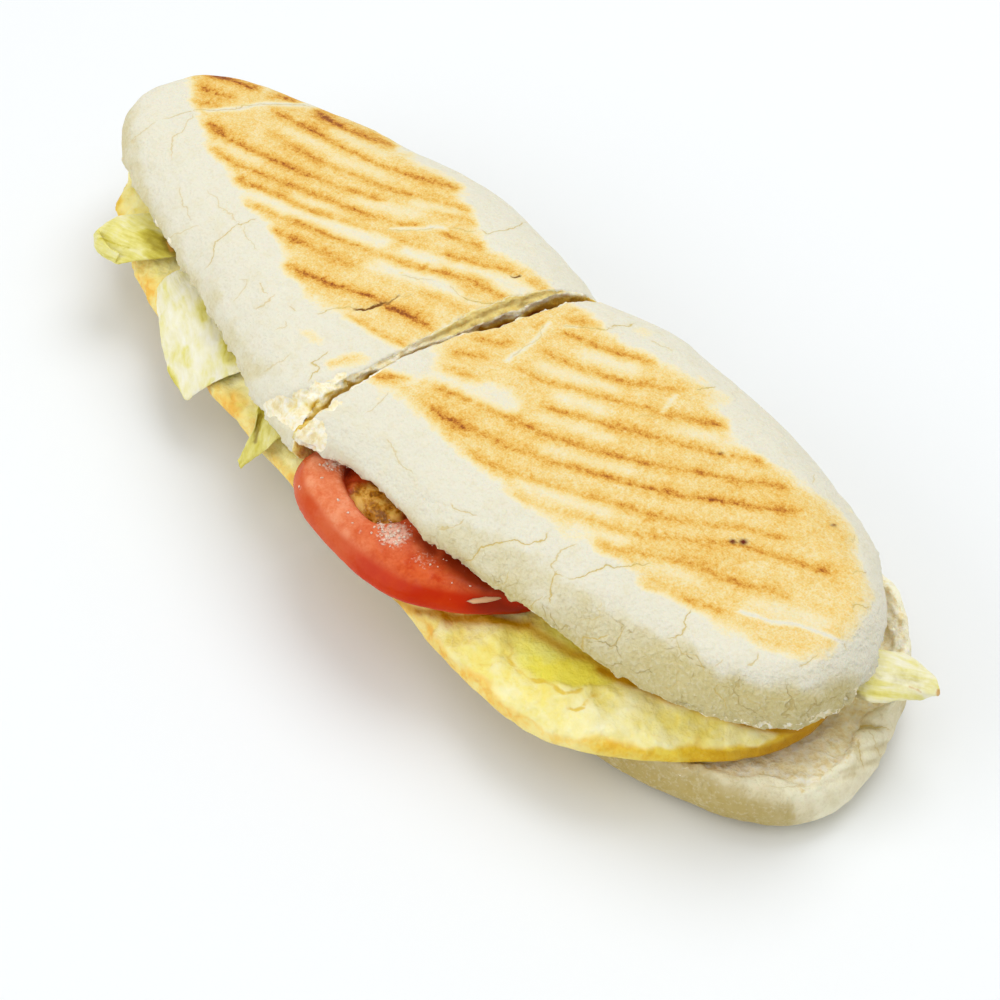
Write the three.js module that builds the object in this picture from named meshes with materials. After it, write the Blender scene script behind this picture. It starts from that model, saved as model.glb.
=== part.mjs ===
// A baguette sandwich, pressed on a ribbed grill and cut across the middle.
// Both halves lie end to end: lower bread, thick omelette, tomato, lettuce, upper bread.
// Millimetres. X runs along the loaf with the near end at +X, the open side faces -Y, Z is up.

import * as THREE from 'three';
import { mergeVertices } from 'three/addons/utils/BufferGeometryUtils.js';

// Placing: the outlines below put the knife cut near X = 0, these bring the box to the middle.
const CENTRE_X = 5;
const CENTRE_Y = -0.9;

// Heights over the table
const LOWER_RIM_Z = 14;
const OMELETTE_UNDER_Z = 14.5;
const OMELETTE_FAR_TOP_Z = 22;
const OMELETTE_NEAR_TOP_Z = 24.4;
const TOMATO_UNDER_Z = 25;
const TOMATO_THICK = 6.4;
const UPPER_FAR_UNDER_Z = 25.8;
const UPPER_NEAR_UNDER_Z = 27.2;
const OVER_TOMATO_Z = 32.1;

// Thickness of a lettuce leaf
const LEAF_THICK = 0.8;

// How finely the loops are divided
const CRUST_POINTS = 58;
const CUT_POINTS = 9;
const LINE_POINTS = 13;
const OMELETTE_POINTS = 48;
const TOMATO_POINTS = 56;

// The knife cut: each face is a bowed line in plan, from the front edge back over CUT_RUN
const CUT_FRONT_Y = -41;
const CUT_RUN = 71;
const CUTS = {
  upperFar: { front: 1.2, lean: 0.4, bow: 5 },
  upperNear: { front: 4.4, lean: -4.7, bow: 11.8 },
  lowerFar: { front: 1.6, lean: 0.5, bow: 4 },
  lowerNear: { front: 5, lean: -2, bow: 7.5 },
};

// Plan outlines without the cut side, counter-clockwise seen from above
const UPPER_FAR_RIM = [
  [7.8, 38], [-12, 41.5], [-30, 43], [-46, 41], [-64, 36.5], [-84, 31], [-99, 24.5], [-110, 17],
  [-116.5, 9], [-118.5, 0], [-117.5, -8], [-111, -15], [-98, -20.5], [-82, -24], [-66, -27],
  [-50, -30], [-32, -34.5], [-14, -38.5], [1.2, -41],
];
const UPPER_NEAR_RIM = [
  [4.4, -41.3], [13, -36.9], [28, -34.6], [42, -34.6], [54, -32.4], [68, -29.8], [85, -25.5], [97, -21.5],
  [108, -16.4], [117, -9.8], [121.8, -3], [122.2, 6], [119.6, 16], [114, 24.5], [105.5, 32],
  [94, 38.6], [76, 43], [55, 45], [36, 44.5], [22, 42.4], [13.7, 38],
];
const LOWER_FAR_RIM = [
  [6.6, 39], [-15, 42], [-36, 42], [-60, 36], [-84, 30.5], [-104, 21], [-115, 11], [-119, 0],
  [-117.5, -9.5], [-110, -17.5], [-95, -22], [-75, -26.5], [-50, -30.5], [-25, -33.5], [2, -35],
];
const LOWER_NEAR_RIM = [
  [5.3, -35], [25, -34.5], [50, -33], [72, -31], [91, -27.5], [105, -22.5], [117.5, -15.5],
  [125.6, -8], [128.6, 1.5], [127.4, 11], [123.2, 21], [117.4, 30.6], [108.6, 38.8], [95, 44],
  [74, 45.8], [50, 46.5], [28, 44], [12.4, 39.5],
];
const OMELETTE_FAR_RIM = [
  [6.3, 33], [-25, 35], [-55, 30], [-82, 24], [-100, 14], [-110, 4], [-113.5, -7], [-111, -15.5],
  [-104, -22], [-97, -26.2], [-81, -31.2], [-64, -34.8], [-37, -38], [-18, -39.4], [1.6, -39.8],
];
const OMELETTE_NEAR_RIM = [
  [5.3, -36.5], [18, -39], [31, -40.8], [47, -41.4], [64, -41.8], [79, -39.8], [92, -35],
  [99, -30], [104, -24.3], [109, -18], [113.5, -11], [116.3, -3], [116.5, 8], [111, 18],
  [100, 26], [84, 31.5], [60, 34], [32, 34], [10.9, 32],
];
const TOMATO_RIM = [
  [8, -6], [5, -20], [3.2, -32], [2.6, -38.5], [4.6, -43], [10, -46.6], [18, -48.3], [27, -48.6],
  [37, -48], [46, -45.6], [54, -40.4], [61, -33], [65.5, -25], [65.5, -16], [61, -7], [52, 0],
  [38, 3], [20, 1],
];
const SEED_CHAMBER_RIM = [
  [12.6, -34.5], [15.6, -37.6], [21, -39.2], [26, -39.8], [30, -39], [32, -35.6], [31, -30],
  [27, -26], [20, -25], [14, -28.5],
];
const SEED_CHAMBER_MIDDLE = [22, -33];

// Crust of the upper bread: how far in from the rim, and how high, from the underside to the top
const UPPER_LEVELS = [
  { inset: 4, shrink: 0.6, height: 0 },
  { inset: 4, shrink: 0.3, height: 0 },
  { inset: 2.8, height: 0 },
  { inset: 0.5, height: 0.07 },
  { inset: -0.8, height: 0.24 },
  { inset: -0.4, height: 0.42 },
  { inset: 1.6, height: 0.6 },
  { inset: 5, height: 0.79 },
  { inset: 9.5, height: 0.92 },
  { inset: 14.5, height: 0.985 },
  { inset: 15, shrink: 0.5, height: 1 },
];
// Lower bread: flat base, round flank, rim, and the crumb face inside the rim
const LOWER_LEVELS = [
  { inset: 9, height: 0 },
  { inset: 3.6, height: 0.1 },
  { inset: 0.9, height: 0.3 },
  { inset: 0, height: 0.54 },
  { inset: 0.8, height: 0.8 },
  { inset: 2.6, height: 0.96 },
  { inset: 5.2, height: 0.99 },
  { inset: 7.6, height: 0.94 },
  { inset: 12, height: 0.92 },
];
// Omelette: a thick lower edge and a face that slopes up to the bread
const OMELETTE_LEVELS = [
  { inset: 8.5, height: 0 },
  { inset: 4, height: 0 },
  { inset: 1, height: 0.07 },
  { inset: 0, height: 0.26 },
  { inset: 0.5, height: 0.47 },
  { inset: 3.2, height: 0.66 },
  { inset: 7.5, height: 0.84 },
  { inset: 12, height: 0.97 },
  { inset: 16, height: 1 },
];
// Tomato: the skin side leans in towards the top, the seed chamber is open right through
const TOMATO_LEVELS = [
  { inset: 2.4, height: 0 },
  { inset: 0.5, height: 0.12 },
  { inset: 0, height: 0.3 },
  { inset: 0.7, height: 0.55 },
  { inset: 2, height: 0.78 },
  { inset: 3.4, height: 0.94 },
  { inset: 4.6, height: 1 },
];
const SEED_CHAMBER_LEVELS = [
  { inset: -0.8, height: 1 },
  { inset: 0, height: 0.88 },
  { inset: 0.3, height: 0.5 },
  { inset: 0, height: 0.12 },
  { inset: -0.6, height: 0 },
];

// Lettuce: nets of points from the tucked edge to the free edge
const LEAF_CURLED = [
  [[-84, -14.5, 23.9], [-78, -15.5, 24], [-73, -17, 23.9]],
  [[-89, -22, 23.7], [-81, -23.6, 24.3], [-72, -25, 24]],
  [[-94, -28.6, 22.6], [-86, -30.2, 24.2], [-76.5, -29.4, 22.6]],
  [[-93.6, -34.4, 20.7], [-88.6, -37, 21], [-81.8, -35.6, 20.3]],
  [[-91.6, -34, 23.4], [-87.2, -35.4, 23.8], [-81.6, -34, 22.8]],
];
const LEAF_BROAD = [
  [[-66, -19, 23.3], [-54, -21, 23.5], [-41, -24, 23.4], [-27.5, -27, 23.5]],
  [[-69, -27, 22.9], [-57, -30.3, 23.9], [-44, -33, 23.9], [-30.5, -33.5, 24.1]],
  [[-69.8, -30, 21.4], [-58.5, -34.2, 21], [-46.6, -37.4, 20.2], [-34.2, -37.6, 20.6]],
  [[-70.2, -31.6, 19.5], [-60, -37.4, 17.2], [-49, -42, 14], [-40.2, -43, 12.6]],
];
const LEAF_TWISTED = [
  [[-22.5, -27, 23.4], [-18, -27.6, 23.3], [-13.5, -28.4, 23.5], [-9, -29, 23.5]],
  [[-20.2, -35.9, 23.8], [-18, -36.2, 22.5], [-14.8, -37, 24.2], [-8.9, -38.4, 23.8]],
  [[-16.6, -39.6, 22], [-15.4, -39.7, 20.8], [-12.8, -40.3, 22.3], [-9.4, -40.8, 21.4]],
  [[-15.6, -43.6, 18], [-14.6, -43.3, 17], [-13.2, -43.1, 18.2], [-12, -42.7, 17.6]],
  [[-15.6, -45, 15.3], [-15, -45.3, 14.8], [-14.4, -45.5, 14.6], [-13.8, -45.6, 14.4]],
];
const LEAF_END = [
  [[107, 21, 25.8], [111, 16, 25.8], [114, 10, 25.8]],
  [[114.6, 25.2, 24.8], [118.6, 19.4, 25.3], [122, 13.4, 24.8]],
  [[117, 28.4, 24], [121.7, 23.7, 24.4], [124.3, 18.3, 23.4]],
  [[121.2, 29.5, 23], [124.6, 26.2, 23.7], [125.4, 21.4, 22.8]],
  [[124.7, 29.2, 22.4], [128, 27.6, 22.2], [126.4, 24.2, 22.2]],
];

// Small helpers
function mix(a, b, t) {
  return a + (b - a) * t;
}

function smooth(from, to, value) {
  const t = Math.min(1, Math.max(0, (value - from) / (to - from)));
  return t * t * (3 - 2 * t);
}

// Uneven relief of baked and torn surfaces, between about -1 and 1
function crag(x, y, seed) {
  const slow = Math.sin(0.19 * x + 1.7 * seed + 1.4 * Math.sin(0.13 * y + seed));
  const middle = Math.sin(0.31 * y - 0.37 * x + 2.3 * seed);
  const quick = Math.sin(0.83 * x + 0.71 * y + 0.9 * seed);
  return 0.5 * slow + 0.32 * middle + 0.18 * quick;
}

// Points spaced evenly along a soft curve through a few plan points
function curveThrough(points, count, closed) {
  const knots = points.map(([x, y]) => new THREE.Vector3(x, y, 0));
  const curve = new THREE.CatmullRomCurve3(knots, closed, 'centripetal');
  const spaced = curve.getSpacedPoints(closed ? count : count - 1);
  return closed ? spaced.slice(0, count) : spaced;
}

function cutX(cut, y) {
  const t = (y - CUT_FRONT_Y) / CUT_RUN;
  return cut.front + cut.lean * t + cut.bow * t * t;
}

// Closed body through stacked loops, each counter-clockwise seen from above, low ones first
// A line of points along the middle closes the lowest loop and another one the highest.
function stackedBody(loops, lowerLine, upperLine) {
  const count = loops[0].length;
  const corners = [...loops.flat(), ...lowerLine, ...upperLine].flatMap((p) => p.toArray());
  const faces = [];
  for (let level = 0; level + 1 < loops.length; level += 1) {
    for (let i = 0; i < count; i += 1) {
      const a = level * count + i;
      const b = level * count + ((i + 1) % count);
      faces.push(a, b, b + count, a, b + count, a + count);
    }
  }
  const lineStart = loops.length * count;
  const under = lidFaces(loops[0], 0, lowerLine, lineStart);
  const over = lidFaces(loops.at(-1), lineStart - count, upperLine, lineStart + lowerLine.length);
  under.forEach(([a, b, c]) => faces.push(c, b, a));
  over.forEach(([a, b, c]) => faces.push(a, b, c));
  const geometry = new THREE.BufferGeometry();
  geometry.setAttribute('position', new THREE.Float32BufferAttribute(corners, 3));
  geometry.setIndex(faces);
  return geometry;
}

// Faces from a loop to the line along its middle, all turned up
function lidFaces(loop, start, line, lineStart) {
  const pitch = (line.at(-1).x - line[0].x) / (line.length - 1);
  const nearest = (p) => Math.min(line.length - 1, Math.max(0, Math.round((p.x - line[0].x) / pitch)));
  const faces = [];
  let at = nearest(loop[0]);
  loop.forEach((_, i) => {
    const j = (i + 1) % loop.length;
    const next = nearest(loop[j]);
    faces.push([start + i, start + j, lineStart + at]);
    while (at !== next) {
      const step = Math.sign(next - at);
      faces.push([start + j, lineStart + at + step, lineStart + at]);
      at += step;
    }
  });
  return faces;
}

// Half a loaf, or a filling that is cut with it
// Levels step in from the rim and up from the low to the high surface, the cut side stays flat.
function halfLayer({ rim, points, cut, spine, levels, low, high, rough, seed }) {
  const outline = curveThrough(rim, points, false);
  const towardsMinusX = spine.to > spine.from && rim[0][1] > rim.at(-1)[1];
  const cutCore = towardsMinusX ? [spine.from, cutX(cut, 0) - 16] : [cutX(cut, 0) + 16, spine.to];
  const loops = levels.map((level, index) => {
    const { inset, shrink = 0, height } = level;
    const roughHere = height > 0 && shrink === 0 ? rough : 0;
    const loop = outline.map((p) => {
      const middle = new THREE.Vector3(Math.min(spine.to, Math.max(spine.from, p.x)), spine.y, 0);
      const pull = middle.clone().sub(p);
      const reach = pull.length();
      const atTip = smooth(0, 22, Math.abs(p.x - middle.x));
      const step = inset * mix(1, spine.tipInset, atTip) + roughHere * crag(p.x, p.y, seed + index * 0.6);
      return p.clone().addScaledVector(pull, Math.min(step, reach * 0.9) / reach);
    });
    loop[0].x = cutX(cut, loop[0].y);
    loop.at(-1).x = cutX(cut, loop.at(-1).y);
    const start = loop.at(-1).y;
    const end = loop[0].y;
    for (let i = 1; i < CUT_POINTS; i += 1) {
      const y = mix(start, end, i / CUT_POINTS);
      loop.push(new THREE.Vector3(cutX(cut, y), y, 0));
    }
    return loop.map((p) => {
      const coreX = Math.min(cutCore[1], Math.max(cutCore[0], p.x));
      const x = mix(p.x, coreX, shrink);
      const y = mix(p.y, spine.y, shrink);
      const bottom = low(x, y);
      return new THREE.Vector3(x, y, mix(bottom, high(x, y), height));
    });
  });
  const middleLine = (height) => Array.from({ length: LINE_POINTS }, (_, i) => {
    const x = mix(cutCore[0], cutCore[1], i / (LINE_POINTS - 1));
    return new THREE.Vector3(x, spine.y, mix(low(x, spine.y), high(x, spine.y), height));
  });
  return stackedBody(loops, middleLine(levels[0].height), middleLine(levels.at(-1).height));
}

// Surfaces that bound the layers
function lowerRimHeight(x, y) {
  const lip = 1.1 * smooth(100, 124, x);
  const raisedBack = 3.6 * smooth(33, 43, y);
  const alongTear = x - 105;
  const acrossTear = y - 39.5 + 0.55 * alongTear;
  const tornBack = 7 * Math.exp(-(alongTear ** 2) / 220 - (acrossTear ** 2) / 40);
  return LOWER_RIM_Z + lip + raisedBack + tornBack + 0.25 * crag(x, y, 4);
}

// The omelette hangs down a little where it reaches out past the front of the lower bread
function omeletteUnderFar(x, y) {
  const breadFront = -35 - 0.085 * x + 0.0006 * x * x;
  return OMELETTE_UNDER_Z - Math.min(3, 0.5 * Math.max(0, breadFront - 1.5 - y));
}

function omeletteUnderNear(x, y) {
  const breadFront = -34.8 + 0.001 * (x - 10) ** 2;
  const droop = Math.min(3, 0.5 * Math.max(0, breadFront - 1.5 - y));
  return OMELETTE_UNDER_Z - droop * (1 - smooth(80, 98, x));
}

// The underside lies on the omelette at the back and is lifted in front by lettuce and tomato
function upperFarUnder(x, y) {
  return UPPER_FAR_UNDER_Z - 3.2 * smooth(-14, 10, y);
}

function upperNearUnder(x, y) {
  const overTomato = (OVER_TOMATO_Z - UPPER_NEAR_UNDER_Z) * (1 - smooth(66, 96, x)) * (1 - smooth(8, 34, y));
  const settledBack = 2.3 * smooth(8, 28, y) * (1 - smooth(86, 102, x));
  return UPPER_NEAR_UNDER_Z + overTomato - settledBack;
}

function upperFarTop(x, y) {
  return mix(43.6, 38.6, smooth(4, -112, x)) - 0.0012 * (y - 2) ** 2 + 0.35 * crag(x, y, 2);
}

function upperNearTop(x, y) {
  return mix(44.6, 41.2, smooth(5, 118, x)) - 0.0012 * (y - 6) ** 2 + 0.35 * crag(x, y, 3);
}

// The pieces
function lowerBreadFar() {
  return halfLayer({
    rim: LOWER_FAR_RIM,
    points: CRUST_POINTS,
    cut: CUTS.lowerFar,
    spine: { from: -88, to: 20, y: 2, tipInset: 0.75 },
    levels: LOWER_LEVELS,
    low: () => 0,
    high: lowerRimHeight,
    rough: 0.45,
    seed: 1,
  });
}

function lowerBreadNear() {
  return halfLayer({
    rim: LOWER_NEAR_RIM,
    points: CRUST_POINTS,
    cut: CUTS.lowerNear,
    spine: { from: -15, to: 96, y: 6, tipInset: 0.8 },
    levels: LOWER_LEVELS,
    low: () => 0,
    high: lowerRimHeight,
    rough: 0.45,
    seed: 2,
  });
}

function omeletteFar() {
  return halfLayer({
    rim: OMELETTE_FAR_RIM,
    points: OMELETTE_POINTS,
    cut: CUTS.lowerFar,
    spine: { from: -88, to: 20, y: -1, tipInset: 0.8 },
    levels: OMELETTE_LEVELS,
    low: omeletteUnderFar,
    high: () => OMELETTE_FAR_TOP_Z,
    rough: 0.4,
    seed: 5,
  });
}

function omeletteNear() {
  return halfLayer({
    rim: OMELETTE_NEAR_RIM,
    points: OMELETTE_POINTS,
    cut: CUTS.lowerNear,
    spine: { from: -15, to: 88, y: -2, tipInset: 0.8 },
    levels: OMELETTE_LEVELS,
    low: omeletteUnderNear,
    high: () => OMELETTE_NEAR_TOP_Z,
    rough: 0.4,
    seed: 6,
  });
}

function upperBreadFar() {
  return halfLayer({
    rim: UPPER_FAR_RIM,
    points: CRUST_POINTS,
    cut: CUTS.upperFar,
    spine: { from: -86, to: 20, y: 3, tipInset: 0.6 },
    levels: UPPER_LEVELS,
    low: upperFarUnder,
    high: upperFarTop,
    rough: 0.55,
    seed: 7,
  });
}

function upperBreadNear() {
  return halfLayer({
    rim: UPPER_NEAR_RIM,
    points: CRUST_POINTS,
    cut: CUTS.upperNear,
    spine: { from: -15, to: 92, y: 6, tipInset: 0.5 },
    levels: UPPER_LEVELS,
    low: upperNearUnder,
    high: upperNearTop,
    rough: 0.55,
    seed: 8,
  });
}

// Point where a ray from a middle, turned by an angle, leaves a closed outline
function onOutline(outline, middle, angle) {
  const way = new THREE.Vector2(Math.cos(angle), Math.sin(angle));
  const sideOf = (p) => way.x * (p.y - middle[1]) - way.y * (p.x - middle[0]);
  const ahead = (p) => way.x * (p.x - middle[0]) + way.y * (p.y - middle[1]) > 0;
  const crossed = outline.findIndex((p, i) => {
    const q = outline[(i + 1) % outline.length];
    return ahead(p) && sideOf(p) <= 0 && sideOf(q) > 0;
  });
  const p = outline[crossed];
  const q = outline[(crossed + 1) % outline.length];
  return p.clone().lerp(q, sideOf(p) / (sideOf(p) - sideOf(q)));
}

// Loop of evenly turned points on an outline, moved in by a distance square to it
function fannedLoop(rim, middle, count, inset, z) {
  const outline = curveThrough(rim, 4 * count, true);
  const fan = Array.from({ length: count }, (_, i) => onOutline(outline, middle, (2 * Math.PI * i) / count));
  return fan.map((p, i) => {
    const run = fan[(i + 1) % count].clone().sub(fan[(i + count - 1) % count]);
    const inward = new THREE.Vector3(-run.y, run.x, 0).normalize();
    return p.clone().addScaledVector(inward, inset).setZ(z);
  });
}

// Tomato slice: up the skin side, over the cut face and down through the seed chamber
function tomatoSlice() {
  const heightAt = (height) => TOMATO_UNDER_Z + TOMATO_THICK * height;
  const loopsOf = (rim, levels) => levels.map(({ inset, height }) => {
    return fannedLoop(rim, SEED_CHAMBER_MIDDLE, TOMATO_POINTS, inset, heightAt(height));
  });
  const loops = [...loopsOf(TOMATO_RIM, TOMATO_LEVELS), ...loopsOf(SEED_CHAMBER_RIM, SEED_CHAMBER_LEVELS)];
  const corners = loops.flat();
  corners.forEach((p) => {
    p.z -= 0.008 * Math.max(0, -38 - p.y) ** 2;
  });
  const faces = [];
  for (let level = 0; level < loops.length; level += 1) {
    const start = level * TOMATO_POINTS;
    const nextStart = ((level + 1) % loops.length) * TOMATO_POINTS;
    for (let i = 0; i < TOMATO_POINTS; i += 1) {
      const j = (i + 1) % TOMATO_POINTS;
      faces.push(start + i, start + j, nextStart + j, start + i, nextStart + j, nextStart + i);
    }
  }
  const geometry = new THREE.BufferGeometry();
  geometry.setAttribute('position', new THREE.Float32BufferAttribute(corners.flatMap((p) => p.toArray()), 3));
  geometry.setIndex(faces);
  return geometry;
}

// Thin wavy leaf through a net of points, both faces split into the same triangles
function leafSheet(net, along, across, wave, seed) {
  const ribs = net.map((row) => {
    return new THREE.CatmullRomCurve3(row.map((p) => new THREE.Vector3(...p)), false, 'centripetal');
  });
  const middle = [];
  for (let i = 0; i <= across; i += 1) {
    const column = ribs.map((rib) => rib.getPoint(i / across));
    const line = new THREE.CatmullRomCurve3(column, false, 'centripetal');
    for (let j = 0; j <= along; j += 1) {
      const point = line.getPoint(j / along);
      const free = smooth(0.35, 1, j / along);
      point.z += wave * free * Math.sin(seed + 11 * (i / across) + 2.2 * (j / along));
      middle.push(point);
    }
  }
  return thickened(middle, across + 1, along + 1, LEAF_THICK / 2);
}

// Solid of even thickness over a grid of points
function thickened(points, rows, columns, half) {
  const within = (value, count) => Math.min(count - 1, Math.max(0, value));
  const at = (i, j) => points[within(i, rows) * columns + within(j, columns)];
  const normals = points.map((_, n) => {
    const i = Math.floor(n / columns);
    const j = n % columns;
    const a = at(i + 1, j).clone().sub(at(i - 1, j));
    const b = at(i, j + 1).clone().sub(at(i, j - 1));
    return a.cross(b).normalize();
  });
  const corners = [1, -1].flatMap((side) => {
    return points.flatMap((p, n) => p.clone().addScaledVector(normals[n], side * half).toArray());
  });
  const faces = [];
  const total = rows * columns;
  for (let i = 0; i + 1 < rows; i += 1) {
    for (let j = 0; j + 1 < columns; j += 1) {
      const a = i * columns + j;
      const b = a + columns;
      faces.push(a, b, b + 1, a, b + 1, a + 1);
      faces.push(total + a, total + b + 1, total + b, total + a, total + a + 1, total + b + 1);
    }
  }
  const border = borderOf(rows, columns);
  border.forEach((a, n) => {
    const b = border[(n + 1) % border.length];
    faces.push(a, total + a, total + b, a, total + b, b);
  });
  const geometry = new THREE.BufferGeometry();
  geometry.setAttribute('position', new THREE.Float32BufferAttribute(corners, 3));
  geometry.setIndex(faces);
  return geometry;
}

// Indices round the grid, in the sense that closes the upper face
function borderOf(rows, columns) {
  const border = [];
  for (let i = 0; i < rows - 1; i += 1) {
    border.push(i * columns);
  }
  for (let j = 0; j < columns - 1; j += 1) {
    border.push((rows - 1) * columns + j);
  }
  for (let i = rows - 1; i > 0; i -= 1) {
    border.push(i * columns + columns - 1);
  }
  for (let j = columns - 1; j > 0; j -= 1) {
    border.push(j);
  }
  return border;
}

// Finishes
function crust(color) {
  return new THREE.MeshStandardMaterial({ color, roughness: 0.85, metalness: 0 });
}

function egg() {
  return new THREE.MeshStandardMaterial({ color: 0xefe09a, roughness: 0.5, metalness: 0 });
}

function tomatoFlesh() {
  return new THREE.MeshStandardMaterial({ color: 0xc8401c, roughness: 0.25, metalness: 0 });
}

function lettuce() {
  return new THREE.MeshStandardMaterial({ color: 0xd6d27c, roughness: 0.45, metalness: 0 });
}

function piece(name, geometry, material) {
  geometry.deleteAttribute('normal');
  geometry.deleteAttribute('uv');
  const mesh = new THREE.Mesh(mergeVertices(geometry, 1e-3), material);
  mesh.geometry.computeVertexNormals();
  mesh.name = name;
  return mesh;
}

const sandwich = new THREE.Group();
sandwich.name = 'baguette_sandwich';
sandwich.add(
  piece('bread_lower_far', lowerBreadFar(), crust(0xe6dcb8)),
  piece('bread_lower_near', lowerBreadNear(), crust(0xe6dcb8)),
  piece('omelette_far', omeletteFar(), egg()),
  piece('omelette_near', omeletteNear(), egg()),
  piece('tomato_slice', tomatoSlice(), tomatoFlesh()),
  piece('lettuce_curled', leafSheet(LEAF_CURLED, 12, 8, 0.35, 1), lettuce()),
  piece('lettuce_broad', leafSheet(LEAF_BROAD, 14, 12, 0.5, 2), lettuce()),
  piece('lettuce_twisted', leafSheet(LEAF_TWISTED, 12, 7, 0.4, 3), lettuce()),
  piece('lettuce_end', leafSheet(LEAF_END, 10, 8, 0.5, 4), lettuce()),
  piece('bread_upper_far', upperBreadFar(), crust(0xeed9a6)),
  piece('bread_upper_near', upperBreadNear(), crust(0xeed9a6)),
);
sandwich.position.set(-CENTRE_X, -CENTRE_Y, 0);

export default sandwich;
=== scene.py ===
# %% [markdown]
# # A grilled baguette sandwich
# A pressed baguette, cut across and laid end to end, with omelette, tomato and lettuce.
# The construction file already holds every slice and layer at its real size.
# Here each of them gets the surface of the real food: floury crust with cracks and grill
# lines, torn crumb, wet tomato, egg with a yellow skin, and leaves with pale ribs.
# The first cell loads the construction and lists its pieces.

# %% Load the construction
from math import cos, radians, sin
from types import SimpleNamespace

import bpy
import numpy as np
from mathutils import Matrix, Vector


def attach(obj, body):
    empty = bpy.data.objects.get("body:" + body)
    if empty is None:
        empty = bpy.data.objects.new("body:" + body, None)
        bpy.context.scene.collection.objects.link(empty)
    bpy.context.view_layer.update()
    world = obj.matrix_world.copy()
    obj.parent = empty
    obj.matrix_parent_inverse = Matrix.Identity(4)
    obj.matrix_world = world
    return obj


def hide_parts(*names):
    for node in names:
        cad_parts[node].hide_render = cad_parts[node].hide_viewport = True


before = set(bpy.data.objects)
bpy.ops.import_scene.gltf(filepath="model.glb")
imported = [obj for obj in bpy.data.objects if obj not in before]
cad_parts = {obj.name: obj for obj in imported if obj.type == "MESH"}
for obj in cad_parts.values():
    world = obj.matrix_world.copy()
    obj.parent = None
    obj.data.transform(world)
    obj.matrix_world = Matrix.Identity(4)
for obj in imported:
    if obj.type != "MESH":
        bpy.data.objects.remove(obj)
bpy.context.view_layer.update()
bpy.ops.object.select_all(action="DESELECT")
MM = 0.001
print("pieces to dress:", sorted(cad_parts))

# %% [markdown]
# ## The camera
# The sandwich was seen from its open side and well above, with a long lens. The camera comes
# first because the marks on the crust are drawn as they are seen from it.

# %% Camera
VIEW_ROUND, VIEW_UP, VIEW_AWAY = radians(53), radians(46), 0.560
SENSOR_WIDE, LENS_LONG, PICTURE_SHIFT = 36, 92.74, -0.05
LOOKED_AT = Vector((15, 0.9, 20)) * MM
towards_eye = Vector((sin(VIEW_ROUND) * cos(VIEW_UP), -cos(VIEW_ROUND) * cos(VIEW_UP), sin(VIEW_UP)))
eye = LOOKED_AT + towards_eye * VIEW_AWAY
bpy.ops.object.camera_add(location=eye, rotation=(-towards_eye).to_track_quat("-Z", "Y").to_euler())
camera = bpy.context.object
camera.data.sensor_width = SENSOR_WIDE
camera.data.lens = LENS_LONG
camera.data.shift_y = PICTURE_SHIFT
bpy.context.scene.camera = camera
print("camera stands", round(eye.length, 3), "m from the middle of the board")

# %% [markdown]
# ## Light and floor
# The light is high and soft and comes mostly from behind the loaf, so the open side lies in
# a mild shade. The room around gives a dim, slightly warm light, and the lamps are a little
# cool, so that lit places stay neutral and shadows turn warm. White stays white with the
# plain view transform, which the bright picture needs.

# %% Light, floor and world
LIT_SPOT = Vector((0, 0, 0.02))
LAMP_TINT, ROOM_TINT, BOARD_TINT = (0.94, 0.97, 1.0), (1.0, 0.98, 0.92, 1), (0.88, 0.9, 0.925, 1)
ROOM_STRENGTH, BOARD_ROUGHNESS = 0.57, 0.6
bpy.context.scene.view_settings.view_transform = "Standard"


def soft_light(name, place, size, watts):
    """A round lamp that shines on the food."""
    turned = (LIT_SPOT - Vector(place)).to_track_quat("-Z", "Y").to_euler()
    bpy.ops.object.light_add(type="AREA", location=place, rotation=turned)
    light = bpy.context.object
    light.name = name
    light.data.shape = "DISK"
    light.data.size = size
    light.data.energy = watts
    light.data.color = LAMP_TINT


soft_light("light_behind", (-0.12, 0.5, 1.1), 0.9, 6.4)
soft_light("light_over", (0.35, -0.15, 1.2), 0.9, 2.0)
soft_light("light_low_front", (-0.25, -0.9, 0.5), 1.0, 3.6)

world = bpy.data.worlds.new("pale_room")
world.use_nodes = True
room = world.node_tree.nodes["Background"].inputs
room["Color"].default_value = ROOM_TINT
room["Strength"].default_value = ROOM_STRENGTH
bpy.context.scene.world = world

bpy.ops.mesh.primitive_plane_add(size=5)
floor = bpy.context.object
floor.name = "floor"
pale_board = bpy.data.materials.new("pale_board")
pale_board.use_nodes = True
board = pale_board.node_tree.nodes["Principled BSDF"].inputs
board["Base Color"].default_value = BOARD_TINT
board["Roughness"].default_value = BOARD_ROUGHNESS
floor.data.materials.append(pale_board)

# %% [markdown]
# ## Tools for shaping
# Every piece starts as a copy of its plain solid. The copy is merged, wrapped in an even
# skin of small faces and smoothed, which gives a surface fine enough to be worked. It could
# be sculpted by hand, but modifiers and drawn marks can be changed later with one number.

# %% Start a piece from its plain solid
def only(piece):
    """Selects one piece, because an operator works on all that is selected."""
    bpy.ops.object.select_all(action="DESELECT")
    piece.select_set(True)
    bpy.context.view_layer.objects.active = piece


def start_from(node, name):
    """A copy of a plain solid, with its loose triangles merged."""
    piece = bpy.data.objects.new(name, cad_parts[node].data.copy())
    bpy.context.scene.collection.objects.link(piece)
    piece.data.name = name
    piece.data.materials.clear()
    only(piece)
    bpy.ops.object.mode_set(mode="EDIT")
    bpy.ops.mesh.select_all(action="SELECT")
    bpy.ops.mesh.remove_doubles(threshold=0.01 * MM)
    bpy.ops.object.mode_set(mode="OBJECT")
    return piece


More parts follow.
